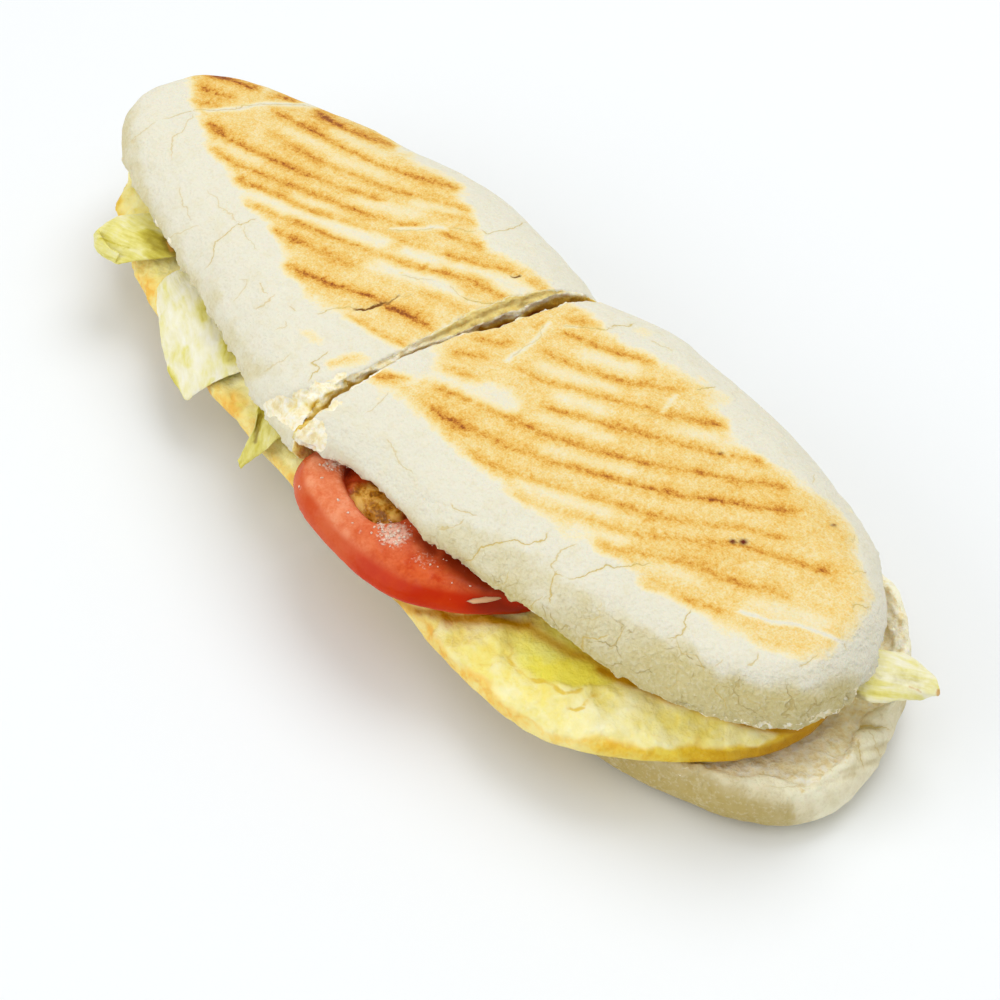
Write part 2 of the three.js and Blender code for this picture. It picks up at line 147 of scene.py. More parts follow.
def work(piece, kind, **settings):
    """Adds one modifier with its settings and applies it."""
    only(piece)
    bpy.ops.object.modifier_add(type=kind)
    modifier = piece.modifiers[-1]
    for setting, value in settings.items():
        setattr(modifier, setting, value)
    bpy.ops.object.modifier_apply(modifier=modifier.name)


def fine_skin(piece, face, rounds):
    """Even small faces all over, with the corners of the plain solid smoothed away."""
    work(piece, "REMESH", mode="VOXEL", voxel_size=face, use_smooth_shade=True)
    work(piece, "SMOOTH", factor=0.5, iterations=rounds)


def joined(parts, name):
    """One smooth piece of that name, made of several parts."""
    only(parts[0])
    for part in parts:
        part.select_set(True)
    bpy.ops.object.join()
    bpy.ops.object.shade_smooth()
    parts[0].name = parts[0].data.name = name
    return parts[0]


# %% Measure and mark a surface
def read_points(piece, what):
    found = np.empty(len(piece.data.vertices) * 3)
    piece.data.vertices.foreach_get(what, found)
    return found.reshape(-1, 3)


def places_of(piece):
    return read_points(piece, "co")


def normals_of(piece):
    return read_points(piece, "normal")


def put(piece, places):
    """Moves every point to its new place."""
    piece.data.vertices.foreach_set("co", places.ravel())
    piece.data.update()


def push(piece, how_far):
    """Moves every point along its normal, by millimetres."""
    put(piece, places_of(piece) + normals_of(piece) * how_far[:, None] * MM)


def mark(piece, name, amounts):
    """Keeps a number for each point, or one for all, which a material reads by name."""
    layer = piece.data.attributes.new(name, "FLOAT", "POINT")
    layer.data.foreach_set("value", np.full(len(piece.data.vertices), amounts, np.float32))


# %% Soft steps and random lumps
LATTICE = 32


def ease(low, high, value):
    """0 at low, 1 at high and soft between them. It falls where low is the larger one."""
    t = np.clip((value - low) / (high - low), 0, 1)
    return t * t * (3 - 2 * t)


def lumps(places, size, seed):
    """Soft random lumps of that size in millimetres, between -1 and 1."""
    lattice = np.random.default_rng(seed).uniform(-1, 1, (LATTICE, LATTICE, LATTICE))
    scaled = places / (size * MM)
    cell = np.floor(scaled).astype(int)
    t = scaled - cell
    t = t * t * (3 - 2 * t)
    total = np.zeros(len(places))
    for corner in np.ndindex(2, 2, 2):
        weight = np.prod(np.where(corner, t, 1 - t), axis=1)
        total += weight * lattice[tuple(((cell + corner) % LATTICE).T)]
    return total


def crags(places, size, seed, octaves=4):
    """Rough relief: lumps with smaller and smaller lumps on them."""
    return sum(0.6**k * lumps(places, size * 0.5**k, seed + k) for k in range(octaves))


# %% [markdown]
# ## Drawing on the food
# Grill lines, toasted patches, cracks and torn spots are drawn as strokes on a sheet of
# glass that lies level 42 mm over the board, just about at the top of the crust. Each point
# of the food finds its place on the glass along the line of sight. A picture laid over the
# food would blur close up, and strokes stay sharp and can also press the surface in. They
# are in millimetres from the spot where the knife went in.

# %% Strokes on the glass
KNIFE_SPOT = np.array([-5.0, 0.9])
GLASS_UP = 42 * MM


def on_glass(places):
    """Where the line of sight to each point goes through the glass."""
    seen_from = np.array(eye)
    reach = (seen_from[2] - GLASS_UP) / (seen_from[2] - places[:, 2])
    return (seen_from + (places - seen_from) * reach[:, None])[:, :2] / MM - KNIFE_SPOT


def in_plan(places):
    """Where each point lies as seen from straight above."""
    return places[:, :2] / MM - KNIFE_SPOT


def facing_eye(places, normals):
    """1 where the surface faces the camera, 0 where it is seen edge on."""
    ways = np.array(eye) - places
    return np.sum(ways * normals, axis=1) / np.linalg.norm(ways, axis=1)


def gap_to(points, stroke):
    """How far each point is from a stroke, with a sign for its side, and how far along it lies."""
    line = np.array(stroke, float)
    gap, side, along = np.full(len(points), np.inf), np.ones(len(points)), np.zeros(len(points))
    lengths = np.linalg.norm(np.diff(line, axis=0), axis=1)
    run = np.concatenate([[0], np.cumsum(lengths)]) / lengths.sum()
    for i, (a, b) in enumerate(zip(line, line[1:])):
        way = b - a
        t = np.clip((points - a) @ way / (way @ way), 0, 1)
        off = points - a - t[:, None] * way
        distance = np.linalg.norm(off, axis=1)
        closer = distance < gap
        gap[closer] = distance[closer]
        side[closer] = np.sign(way[0] * off[closer, 1] - way[1] * off[closer, 0])
        along[closer] = (run[i] + (run[i + 1] - run[i]) * t)[closer]
    return gap, side, along


def inside(points, outline):
    """Distance into a closed outline in millimetres, negative outside it."""
    line = np.array(list(outline) + [outline[0]], float)
    gap, _, _ = gap_to(points, line)
    odd = np.zeros(len(points), bool)
    for (ax, ay), (bx, by) in zip(line, line[1:]):
        crosses = (ay > points[:, 1]) != (by > points[:, 1])
        if ay != by:
            odd ^= crosses & (points[:, 0] < ax + (bx - ax) * (points[:, 1] - ay) / (by - ay))
    return np.where(odd, gap, -gap)


def soft_line(stroke):
    """Rounds the corners of a stroke by cutting them twice."""
    line = np.array(stroke, float)
    for _ in range(2):
        near, far = line[:-1] * 0.75 + line[1:] * 0.25, line[:-1] * 0.25 + line[1:] * 0.75
        middle = np.stack([near, far], axis=1).reshape(-1, 2)
        line = np.vstack([line[:1], middle[1:-1], line[-1:]])
    return line


def length_of(stroke):
    return np.sum(np.linalg.norm(np.diff(np.array(stroke, float), axis=0), axis=1))


def tapered(along, stroke, reach):
    """1 along a stroke, falling to 0 over that many millimetres at its ends."""
    share = min(0.4, reach / length_of(stroke))
    return ease(0, share, along) * ease(1, 1 - share, along)


def drawn(points, strokes):
    """How strongly soft strokes cover each point. A stroke is its strength, half width and points."""
    cover = np.zeros(len(points))
    for strength, half, stroke in strokes:
        gap, _, along = gap_to(points, soft_line(stroke))
        cover = np.maximum(cover, strength * tapered(along, stroke, 2 * half) * np.exp(-(gap / half) ** 2))
    return cover


def dotted(points, spots):
    """How strongly soft round spots cover each point. A spot is its strength, radius and middle."""
    cover = np.zeros(len(points))
    for strength, radius, middle in spots:
        gap = np.linalg.norm(points - np.array(middle), axis=1)
        cover = np.maximum(cover, strength * ease(radius * 1.2, radius * 0.4, gap))
    return cover


def shaken(points, places, size, amount, seed):
    """The same points moved about a little, so that a drawn line comes out uneven."""
    return points + amount * np.stack([lumps(places, size, seed + k) for k in (1, 2)], axis=1)


# %% [markdown]
# ## Writing materials
# A material is a tree of nodes, which could be joined by hand. Here it is written as sums:
# one small class holds a socket and turns plus, minus and times into nodes, and its method
# `node` makes every other kind of node. So a finish reads like a recipe. Colours are given
# as the eye reads them on a screen, from 0 to 255.

# %% A class for shader sums
class Flow:
    tree = None

    def __init__(self, socket):
        self.socket = socket

    @classmethod
    def node(cls, kind, sockets=None, output=0, stops=None, **settings):
        made = cls.tree.nodes.new("ShaderNode" + kind)
        for setting, value in settings.items():
            setattr(made, setting, value)
        if stops:
            ramp = made.color_ramp
            while len(ramp.elements) < len(stops):
                ramp.elements.new(0.5)
            for element, (at, colour) in zip(ramp.elements, stops):
                element.position = at
                element.color = colour
        for name, value in (sockets or {}).items():
            if isinstance(value, Flow):
                cls.tree.links.new(value.socket, made.inputs[name])
            else:
                made.inputs[name].default_value = value
        return Flow(made.outputs[output])

    @classmethod
    def sum(cls, operation, first, second, clamp=False):
        return cls.node("Math", {0: first, 1: second}, operation=operation, use_clamp=clamp)

    def __add__(self, other):
        return self.sum("ADD", self, other)

    def __sub__(self, other):
        return self.sum("SUBTRACT", self, other)

    def __rsub__(self, other):
        return self.sum("SUBTRACT", other, self)

    def __mul__(self, other):
        return self.sum("MULTIPLY", self, other)

    __radd__ = __add__
    __rmul__ = __mul__

    def size(self):
        return self.sum("ABSOLUTE", self, 0.0)

    def held(self):
        return self.sum("ADD", self, 0.0, clamp=True)


# %% Colours, noise and marks
def light_of(colour):
    """A screen colour as amounts of light. A flow of colours stays as it is."""
    if isinstance(colour, Flow):
        return colour
    parts = [part / 255 for part in colour]
    return (*[part / 12.92 if part <= 0.04045 else ((part + 0.055) / 1.055) ** 2.4 for part in parts], 1.0)


def blend(amount, under, over):
    """One colour laid over another, as thickly as the amount says."""
    sockets = {0: amount, 6: light_of(under), 7: light_of(over)}
    return Flow.node("Mix", sockets, output=2, data_type="RGBA", clamp_factor=True)


def ramp(amount, *stops):
    """A colour for each amount. A stop is an amount and its colour."""
    return Flow.node("ValToRGB", {0: amount}, stops=[(at, light_of(colour)) for at, colour in stops])


def eased(value, low, high):
    """0 below low and 1 above high, with a soft change between, or the other way round."""
    sockets = {"Value": value, "From Min": low, "From Max": high}
    return Flow.node("MapRange", sockets, interpolation_type="SMOOTHSTEP")


def grain(size, detail=3.0, place=None, swirl=0.0):
    """Cloudy noise with lumps of about that size in millimetres, around zero."""
    sockets = {"Scale": 1 / (size * MM), "Detail": detail, "Distortion": swirl}
    sockets["Vector"] = place or Flow.node("TexCoord", output="Object")
    return Flow.node("TexNoise", sockets) - 0.5


def marked(name):
    """The number that a piece keeps under that name."""
    return Flow.node("Attribute", output="Fac", attribute_name=name)


def warped(size, amount):
    """Object coordinates pushed about by noise, so that regular patterns look grown."""
    place = Flow.node("TexCoord", output="Object")
    noise = Flow.node("TexNoise", {"Scale": 1 / (size * MM), "Detail": 2.0, "Vector": place}, output=1)
    centred = Flow.node("VectorMath", {0: noise, 1: (0.5, 0.5, 0.5)}, operation="SUBTRACT")
    scaled = Flow.node("VectorMath", {0: centred, "Scale": amount * MM}, operation="SCALE")
    return Flow.node("VectorMath", {0: place, 1: scaled}, operation="ADD")


# %% Open a material and fill its surface
def open_material(name):
    """An empty material, whose tree takes the nodes that are made next."""
    made = bpy.data.materials.new(name)
    made.use_nodes = True
    Flow.tree = made.node_tree
    return made


def bumped(height, depth):
    """A normal from a height between 0 and 1 that is depth millimetres deep."""
    return Flow.node("Bump", {"Height": height, "Distance": depth * MM, "Strength": 1.0})


def surface(made, colour, roughness, normal, **constants):
    """Fills a material and gives it back. Constants go straight to the shader's sockets."""
    shader = made.node_tree.nodes["Principled BSDF"]
    for socket, flow in (("Base Color", colour), ("Roughness", roughness), ("Normal", normal)):
        made.node_tree.links.new(flow.socket, shader.inputs[socket])
    for socket, value in {"Subsurface_Scale": 1.0, **constants}.items():
        shader.inputs[socket.replace("_", " ")].default_value = value
    print("material", made.name, "has", len(made.node_tree.nodes), "nodes")
    return made


# %% [markdown]
# ## The crust's finish
# Baked dough under flour is a pale cream. Down the flanks the flour has come off in plates,
# and the straw-coloured dough shows, with thin cracks round the plates. Low on the flanks the
# straw colour is also painted shade. Where the hot plate touched, it is toasted gold with a
# fine grain, and the ribs of the grill leave brown lines. Torn places and cut faces are white,
# open crumb, with painted shade in its hollows and deep in the cut. Each of these layers is a
# function that uses the same clouds of noise, and marks kept on the surface say where each
# one shows.

# %% Dough under flour
def crust_clouds():
    """Noise from wide to fine, which all layers of the crust share."""
    return SimpleNamespace(flour=grain(9, 5.0), patches=grain(4, 4.0), specks=grain(1.2, 3.0),
                           grit=grain(0.7, 3.0), fine=grain(0.42, 2.0), foam=grain(1.6, 5.0))


def plates(size, place, output="Distance", feature="DISTANCE_TO_EDGE"):
    """Cracked plates of about that size in millimetres."""
    sockets = {"Scale": 1 / (size * MM), "Vector": place}
    return Flow.node("TexVoronoi", sockets, output=output, feature=feature)


def floury_dough(clouds, pale, straw):
    """The colour of flour over dough that is bare in plates, and how deep the bare parts lie."""
    flour, patches, specks, grit = clouds.flour, clouds.patches, clouds.specks, clouds.grit
    # The mark bare holds where the flour is worn off, and also painted shade low on the flanks; both turn the
    # dough straw.
    worn_and_shaded, plate_place = marked("bare"), warped(2.5, 3.5)
    dough = blend(eased(worn_and_shaded + flour * 0.6 + patches * 0.4, 0.0, 1.0), pale, straw)
    each_plate = plates(7, plate_place, "Color", "F1") + 0.0
    missing = eased(worn_and_shaded + (each_plate - 0.5) * 0.8 + flour * 1.0 + specks * 0.25, 0.4, 0.58)
    dough = blend(missing * 0.2, dough, straw)
    dough = blend(eased(patches + specks * 0.6, 0.02, 0.2) * 0.24, dough, (222, 212, 174))
    dough = blend(eased(grit + specks * 0.4, 0.0, 0.2) * (0.16 + worn_and_shaded * 0.1), dough, (238, 232, 208))
    pores = eased(grit * -1.0 + clouds.fine * 0.6, 0.02, 0.2) * (0.1 + worn_and_shaded * 0.2)
    dough = blend(pores, dough, (194, 174, 112))
    below_flour = eased(worn_and_shaded, 0.25, 0.6) * marked("scaly")
    seam = (1 - eased(plates(7, plate_place), 0.006, 0.03)) * eased(patches, -0.05, 0.05) * below_flour
    dough = blend(seam * 0.6, dough, (184, 160, 92))
    flakes = plates(2.2, warped(1.5, 1.6))
    fine_seam = (1 - eased(flakes, 0.02, 0.1)) * eased(flour, -0.02, 0.08) * below_flour
    dough = blend(fine_seam * 0.35, dough, (190, 170, 106))
    return dough, missing * 0.12 + seam * 0.25 + fine_seam * 0.1


# %% [markdown]
# The heat that toasted each spot is one number, and a colour ramp turns it from cream
# through gold to brown, as bread browns. Cracks and crumb lie over the toast, because they
# opened after it.

# %% Toast, cracks and crumb
def browned(clouds):
    """How hot each spot became, and its colour from that."""
    toasted, line = marked("toast"), marked("grill")
    heat = toasted * 0.39 + line * (0.2 + toasted * 0.24)
    heat = heat * (1.0 + clouds.patches * 0.8 + clouds.specks * 1.0)
    pricked = clouds.fine * (0.08 + toasted * 0.55) * eased(toasted + line, 0.0, 0.4)
    heat = (heat + pricked + marked("hot_spot") * 0.14).held()
    return heat, ramp(heat, (0.0, (232, 227, 204)), (0.14, (237, 226, 190)), (0.3, (238, 217, 159)),
                      (0.46, (235, 202, 124)), (0.6, (230, 183, 89)), (0.74, (216, 156, 61)),
                      (0.88, (192, 122, 42)), (1.0, (146, 80, 30)))


def cracked(colour):
    """The same colour with cracks over it, and where the cracks are."""
    off_crack = (marked("crack_side") + grain(1.1, 2.0) * 1.1).size()
    strength = marked("crack")
    crack = (1 - eased(off_crack, 0.05, 0.21)) * strength
    colour = blend((1 - eased(off_crack, 0.2, 1.0)) * strength * 0.2, colour, (226, 210, 150))
    colour = blend(crack * 0.8, colour, (204, 176, 92))
    deep_crack = marked("deep_crack") * (1 - eased(off_crack, 0.12, 0.45))
    return blend(deep_crack, colour, (122, 76, 24)), crack


def open_crumb(clouds):
    """Where the crumb is open, and its colour, with painted shade that is deeper in hollows."""
    here = eased(marked("crumb") + clouds.specks * 0.8 + clouds.patches * 0.5, 0.4, 0.55)
    white = ramp(clouds.foam + clouds.grit * 0.4 + clouds.patches * 0.2 + 0.5, (0.32, (236, 218, 166)),
                 (0.43, (245, 233, 194)), (0.53, (249, 241, 214)), (0.68, (252, 248, 234)))
    # Painted shade: the deeper a hollow or a place in the cut, the darker the crumb, down to red brown.
    hollow_shade_colour = ramp(marked("shaded_hollow") + clouds.foam * 0.4, (0.1, (249, 240, 202)), (0.3, (243, 224, 150)),
                 (0.5, (222, 186, 80)), (0.75, (186, 132, 20)), (1.0, (132, 40, 2)))
    return here, blend(eased(marked("shaded_hollow"), 0.05, 0.4), white, hollow_shade_colour)


# %% The layers of the crust put together
def crust_finish(name, pale, straw):
    """Dough, toast, cracks and crumb, each laid over the one before."""
    made = open_material(name)
    clouds, scaly = crust_clouds(), marked("scaly")
    dough, sunk = floury_dough(clouds, pale, straw)
    heat, brown = browned(clouds)
    colour = blend(eased(heat, 0.03, 0.15), dough, brown)
    colour = blend(marked("fleck"), colour, (104, 34, 10))
    colour, crack = cracked(colour)
    open_here, crumb = open_crumb(clouds)
    colour = blend(open_here, colour, crumb)
    height = (clouds.specks * (0.6 + scaly * 0.3) + clouds.grit * (0.5 + scaly * 0.4)
              + clouds.patches * 0.45 + clouds.foam * open_here * 0.6 - crack * 0.12 - sunk + 0.5)
    roughness = 0.74 + clouds.specks * 0.25 + open_here * 0.2
    return surface(made, colour, roughness, bumped(height, 0.5), Subsurface_Weight=0.2,
                   Subsurface_Radius=(0.0018, 0.0012, 0.0007), Specular_IOR_Level=0.18)


upper_crust = crust_finish("floury_grilled_crust", (229, 225, 207), (209, 196, 142))
# The lower crust is the same finish with a paler pale, painted light for its shaded end, and a deeper straw,
# painted shade on its low flank.
lower_crust = crust_finish("floury_lower_crust", (252, 246, 218), (188, 167, 102))

# %% [markdown]
# ## The marks of the grill
# The plate had parallel ribs about 6.5 mm apart. The dough bulges, so each rib touched it
# over its own stretch only, and each line has its own darkness. A line has a thin dark core
# and a wide golden band round it. A stroke here is its darkness and a few points.

# %% Grill lines
GRILL_LINES_NEAR = [
    (1.0, [(1, -23), (4.3, -20), (7, -17), (10, -14.5)]),
    (0.8, [(5.2, -4.3), (9.3, -2), (12, 0.4), (14.6, 2.6)]),
    (0.9, [(5.5, 2), (9.3, 5), (12, 7.1), (15.2, 9.8)]),
    (0.6, [(9, -7.6), (13, -5.9), (16.5, -4.4), (19, -3)]), (0.6, [(11.5, 19), (12, 16), (12, 13.5)]),
    (0.7, [(11.5, 22), (16, 24), (19.5, 26.5), (21.5, 29)]),
    (0.5, [(10.7, 24.8), (13.6, 25.6), (18.6, 28.2)]),
    (0.95, [(14, 18.5), (18, 19.8), (22, 21.5), (26, 23), (31, 25.7), (38, 30)]),
    (1.0, [(16, 11.5), (22, 13), (26, 15), (30.5, 16.8), (36, 19.7), (40, 23.2), (44, 26.5), (47.5, 30)]),
    (0.95, [(17.5, 4), (21.4, 5.7), (25, 6.6), (29.3, 8.8), (32, 10.6), (36, 13), (40, 15.4), (44, 18),
        (47.5, 20.5), (51, 22.5), (54, 24.3), (57, 27), (62, 30)]),
    (1.0, [(30, 1.4), (34, 3.2), (37, 5), (40.7, 7.1), (43, 8.8), (46.4, 10.7), (49.3, 12.7), (53, 15),
        (56.4, 16.8), (60, 19.3), (63, 21.3), (66.5, 23.3), (69, 26), (71.4, 28), (75, 30)]),
    (1.0, [(12, -12.8), (18, -10.5), (22, -8.5), (27, -6.9), (31, -5.4), (34.3, -4.1), (38, -3.2),
        (43, -0.2), (46, 1.3), (49.3, 3.2), (53, 5.9), (56.4, 7.9), (59.3, 10), (62, 12.5), (65, 14.8),
        (69, 18), (72, 20), (75, 22.9), (78, 25.7), (82, 28.8)]),
    (1.05, [(13, -17.4), (18, -17), (22, -16.4), (26.4, -15), (31, -12.9), (35, -11.4), (38.6, -10),
        (43, -7.6), (46, -6.3), (48.6, -4.3), (52, -2.1), (55.7, 0), (58, 1.3), (61, 3), (63.6, 5),
        (66.4, 7), (69.3, 8.9), (71.4, 11), (74.3, 13.6), (79.3, 17.9), (82, 20), (85, 22.9), (88, 26)]),
    (0.85, [(32, -18), (38, -17.2), (42, -15.4), (46, -13.2), (49.3, -11.2), (53, -9.3), (56.4, -7.5),
        (60, -4.6), (63, -2.9), (66, -1.4), (68.6, 0), (71.4, 2.1), (74.3, 4.3), (77, 7.1), (79.5, 9.3),
        (82, 11.8), (84.5, 14), (88, 16.2), (93, 19)]),
    (0.8, [(44, -20), (50, -17.6), (54, -16), (57, -14.4), (60, -12.1), (62.5, -10), (66, -8.5), (69, -7),
        (71.5, -5.4), (74.3, -2.9), (77, 0.4), (79.3, 2.5), (82, 5), (84.5, 7.5), (87, 10.2), (91, 12),
        (95, 14.6), (100, 17.2), (105, 20.6)]),
    (0.7, [(67, -14), (72, -11), (74.5, -9.3), (78, -6.4), (81, -4.3), (84, -2), (87, -0.2), (90, 0.8),
        (93.6, 2.5), (96.4, 4.3), (100, 6.8), (105, 9.6)]),
    (0.6, [(80, -14), (87, -10), (91, -8.4), (94, -6.2), (97, -4.8), (101, -2.6)]),
]
GRILL_LINES_FAR = [
    (1.25, [(-107, 5.4), (-103, 8.5), (-100, 10), (-96, 11.3), (-91, 14.5)]),
    (0.8, [(-105, 2), (-99.5, 3.4), (-95, 5.6), (-92, 9)]),
    (1.15, [(-90, 12.4), (-87, 15.7), (-84.3, 17.6), (-81, 20)]),
    (0.5, [(-101, -1.8), (-95, 0.5), (-90.5, 3.2)]),
    (1.3, [(-80, 19.2), (-75, 20), (-70, 21), (-67, 21.8), (-63.6, 23.5), (-60.5, 24.8), (-54, 27.4)]),
    (1.0, [(-86.5, 11.4), (-81.4, 12), (-78, 13.5), (-73.6, 14.6), (-69.3, 15.4), (-65, 16.4),
        (-60.7, 17.5), (-56.4, 18.9), (-52, 20.4), (-48, 22.5), (-43.6, 24.5), (-41.2, 25.9),
        (-38.7, 27.4), (-33, 30.6)]),
    (0.85, [(-80, 6), (-75, 7), (-69, 8.2), (-64, 9.4), (-60, 10.6), (-57.4, 11.8), (-51.6, 13.9),
        (-46, 16.4), (-42.8, 17.8), (-39.5, 20), (-37, 21.3), (-35, 22.6), (-32, 24.7), (-29, 26.2),
        (-25.6, 28)]),
    (1.15, [(-92, -3), (-86.4, -2.6), (-82, -2.9), (-79, -1.4), (-75, -0.7), (-71.4, 0.7), (-68, 2),
        (-64.3, 3.2), (-60, 4.7), (-57, 6.1), (-54, 7.4), (-51, 8.8), (-46, 11.2), (-40, 14.6)]),
    (0.95, [(-84, -8.2), (-75, -6.8), (-70, -5), (-66, -3), (-62, -1.7), (-58.3, 0.1), (-55.8, 0.9),
        (-52.8, 2.2), (-50, 3.2), (-47.4, 4.5), (-45.3, 5.5), (-43.3, 6.8), (-40.8, 7.4), (-38.7, 8.8),
        (-37, 9.7), (-35, 10.7), (-32.8, 12.2), (-31.2, 14), (-28.5, 16.6)]),
    (1.05, [(-71, -9.4), (-65.7, -7.9), (-61.4, -6.4), (-57, -4.7), (-53.7, -3.7), (-50.3, -2),
        (-47.8, -1), (-45.8, -0.1), (-42, 1.8)]),
    (0.45, [(-44, 1), (-38, 3.8), (-33, 6.8), (-27.4, 9.3), (-24.5, 10.5), (-20.5, 11.8)]),
    (0.4, [(-35, 19.6), (-29, 22.5), (-25, 24.5), (-20.5, 26.4)]),
    (0.85, [(-27, 16.4), (-23.3, 18.2), (-21, 19.4), (-18.5, 20.8), (-13, 22.4)]),
    (1.05, [(-21, 12.6), (-14.5, 16.5), (-12, 17.6), (-10.3, 18.8), (-8.3, 20.3), (-6.2, 21.6),
        (-2, 23.4)]),
    (0.8, [(-2, 23.6), (1, 24), (6, 24.8)]),
    (1.05, [(-61.5, -11.8), (-57.8, -10.3), (-54.5, -9.1), (-51.6, -7.8), (-48.7, -6.3), (-46, -5.3),
        (-43.7, -4.5), (-41, -3.7), (-38.7, -2.3), (-35.3, -1), (-33, 0), (-31, 0.8), (-28.2, 2.2),
        (-25.8, 3), (-22.8, 4.3), (-20.3, 5.7), (-18.3, 7), (-16.2, 8.4), (-14, 9.8), (-12.4, 11.1),
        (-10.3, 12.4), (-8.3, 13.4), (-5.8, 14), (-3.3, 14.6), (-0.8, 15.4), (3.5, 17.4)]),
    (1.0, [(-51, -12.6), (-46.5, -11.2), (-43, -10.2), (-40.8, -9.1), (-38.5, -8.4), (-36, -7.4),
        (-33.5, -6.4), (-31, -5.9), (-29, -5), (-25, -3.3)]),
    (0.65, [(-14, 1.2), (-10, 3.2), (-7, 4.7), (-4.5, 5.7), (-2, 6.2), (2, 7.8)]),
    (1.35, [(-39, -16.8), (-34, -15), (-30, -13.5), (-27.8, -12.5), (-26, -11.8), (-23.7, -10.5),
        (-21.2, -9.5), (-19, -8), (-17, -6.8), (-14.5, -6.4), (-12, -6), (-9.5, -4.9), (-6.6, -3.9),
        (-3.7, -3), (1, -2.4)]),
    (0.65, [(-19, -15.4), (-12.5, -14), (-8, -12.8), (-5, -12), (-2.4, -11.5), (1.5, -9.4)]),
]
# Half the width, in millimetres, of a line's dark core and of the golden band round it, and
# how deep the rib pressed
CORE_HALF, BAND_HALF, RIB_DEPTH = 0.7, 2.0, 0.25

# %% [markdown]
# ## The toasted patches
# The patches are two outlines, one on each half, with bare islands and pale streaks left in
# them where the dough stood clear of the plate.

# %% Toasted patches and pale streaks
TOAST_NEAR = [
    (-0.6, -25.6), (4, -24.2), (10, -22.6), (16, -21.8), (24, -21.2), (33, -20.4), (45, -20.2), (52, -19),
    (60, -17.6), (67, -16), (76, -14.8), (84, -13.4), (90, -11), (97, -9.5), (104, -8), (110, -6),
    (114.5, -4), (117.5, -0.5), (119.4, 4), (120.2, 9), (118.6, 14), (116, 18.5), (112, 22), (108, 25),
    (103, 28), (98, 31), (92, 33), (84, 32.4), (80, 30.6), (74, 30.2), (70, 30), (65, 28.5), (61, 30),
    (56, 32.4), (52, 34), (47, 33), (42, 31.5), (34, 30.4), (27, 29), (22, 29.6), (16, 28.6), (9, 27.4),
    (4, 22), (3, 14), (1, 4), (1, -2), (2, -6), (6, -9), (8, -13.6), (2, -18.5),
]
BARE_NEAR = [
    [(2, -6.6), (9, -9.2), (14, -7.4), (18, -4.8), (20, -2.4), (24, -1.2), (29, -1.6), (30, -3.4),
        (28.6, -5), (25, -6.6), (21, -8.2), (18, -9.6), (13, -11.6), (9, -13.2), (4, -14.2)],
]
TOAST_FAR = [
    (-109, 4), (-107, 1.5), (-105, 0.3), (-101.5, -1.6), (-97, -3.4), (-93, -5), (-88, -5.6), (-84, -9),
    (-78, -9.4), (-70, -10.4), (-62, -12.7), (-54, -13.6), (-47, -13.2), (-40, -16.7), (-36, -18),
    (-30, -20.2), (-24, -19.5), (-20, -17.8), (-16, -16), (-8, -15), (-2, -13.8), (1.5, -12), (2.5, -6),
    (2, 0), (3.5, 6), (4, 12), (4.5, 18), (6, 25), (0, 26), (-6, 26.5), (-12, 25.5), (-18, 23.5),
    (-22, 26), (-26, 28.5), (-30, 30), (-35, 32), (-41, 31), (-48, 28), (-56, 28.5), (-64, 27.5),
    (-71, 27.2), (-77, 26), (-82, 23.5), (-88, 20.5), (-93, 17.5), (-99, 14.5), (-104, 11), (-107.5, 7),
]
BARE_FAR = [
    [(-62, -7.4), (-57, -5.6), (-51, -3.4), (-47, -1.6), (-44, -0.2), (-41, 1.6), (-38, 2.8), (-35, 4.4),
        (-32.5, 6.2), (-29.6, 7.4), (-28.4, 5), (-29, 2.4), (-31, 1.6), (-35, 0), (-39, -1.4),
        (-42, -2.6), (-46, -4.3), (-51, -6.6), (-55, -8), (-60, -10.2), (-66, -12)],
    [(-27, 8.4), (-24, 9.6), (-20.5, 10.8), (-17, 12.5), (-13, 15.5), (-9.5, 18.5), (-6, 20.3),
        (-2, 21.4), (2, 21.6), (3.5, 19), (1.5, 17.4), (-2, 16.4), (-6, 15.8), (-10, 14.4), (-13.5, 12),
        (-17, 9.4), (-20.5, 7), (-24, 5.2), (-27, 4.2), (-26, 6.5)],
    [(-26, -2.6), (-22, -1.2), (-18, 0.6), (-15, 2.6), (-12, 4.4), (-8, 5.8), (-4, 7.4), (-1, 8.6),
        (0, 11), (-4, 9.6), (-9, 9.6), (-13.5, 8.8), (-17, 6.6), (-20, 4.4), (-24, 2.4), (-26.5, 1),
        (-25, -0.8)],
    [(-10, -14.6), (-5, -13.2), (0, -12), (1, -15), (-6, -17)],
]
# Pale streaks: how much toast they take away, half width, and their line
PALE_NEAR = [
    (1.0, 0.6, [(99, -2.4), (105, 1.5), (110, 5.4), (114, 7.4), (119, 9.2)]),
    (0.5, 2.2, [(97, 0), (104, 4.4), (110, 8), (115, 11)]),
    (0.8, 0.5, [(46, 27.4), (47.3, 24), (48.6, 20.3)]),
    (0.9, 0.6, [(12.8, 19.4), (14.6, 14.3), (16, 10), (16.6, 3)]), (0.8, 0.5, [(15, 20.5), (18.5, 23)]),
    (0.5, 1.8, [(20, 8), (28, 11.6), (36, 16.2), (40, 19)]), (0.6, 2.2, [(22, 17.4), (30, 21), (38, 26)]),
    (0.55, 1.8, [(29, 5.4), (36, 8.6), (43, 12.8)]), (0.4, 1.6, [(32, -1), (42, 3.8), (50, 8.6)]),
    (0.4, 1.6, [(40, -6), (50, -0.6), (60, 6)]),
    (0.5, 1.6, [(44, -16.5), (52, -13), (60, -8.6), (66, -5)]),
    (0.5, 1.6, [(60, -15), (68, -11), (74, -6.6)]), (0.4, 1.8, [(50, -18.6), (62, -14.6)]),
    (0.4, 1.6, [(52, 18.6), (60, 24), (66, 28)]), (0.4, 1.6, [(77, -10), (84, -5.4), (90, -2.6)]),
    (0.5, 2.0, [(84, -11), (92, -11), (100, -7.6), (108, -5)]),
    (0.25, 6, [(44, -15), (54, -12), (64, -8), (74, -3)]),
]
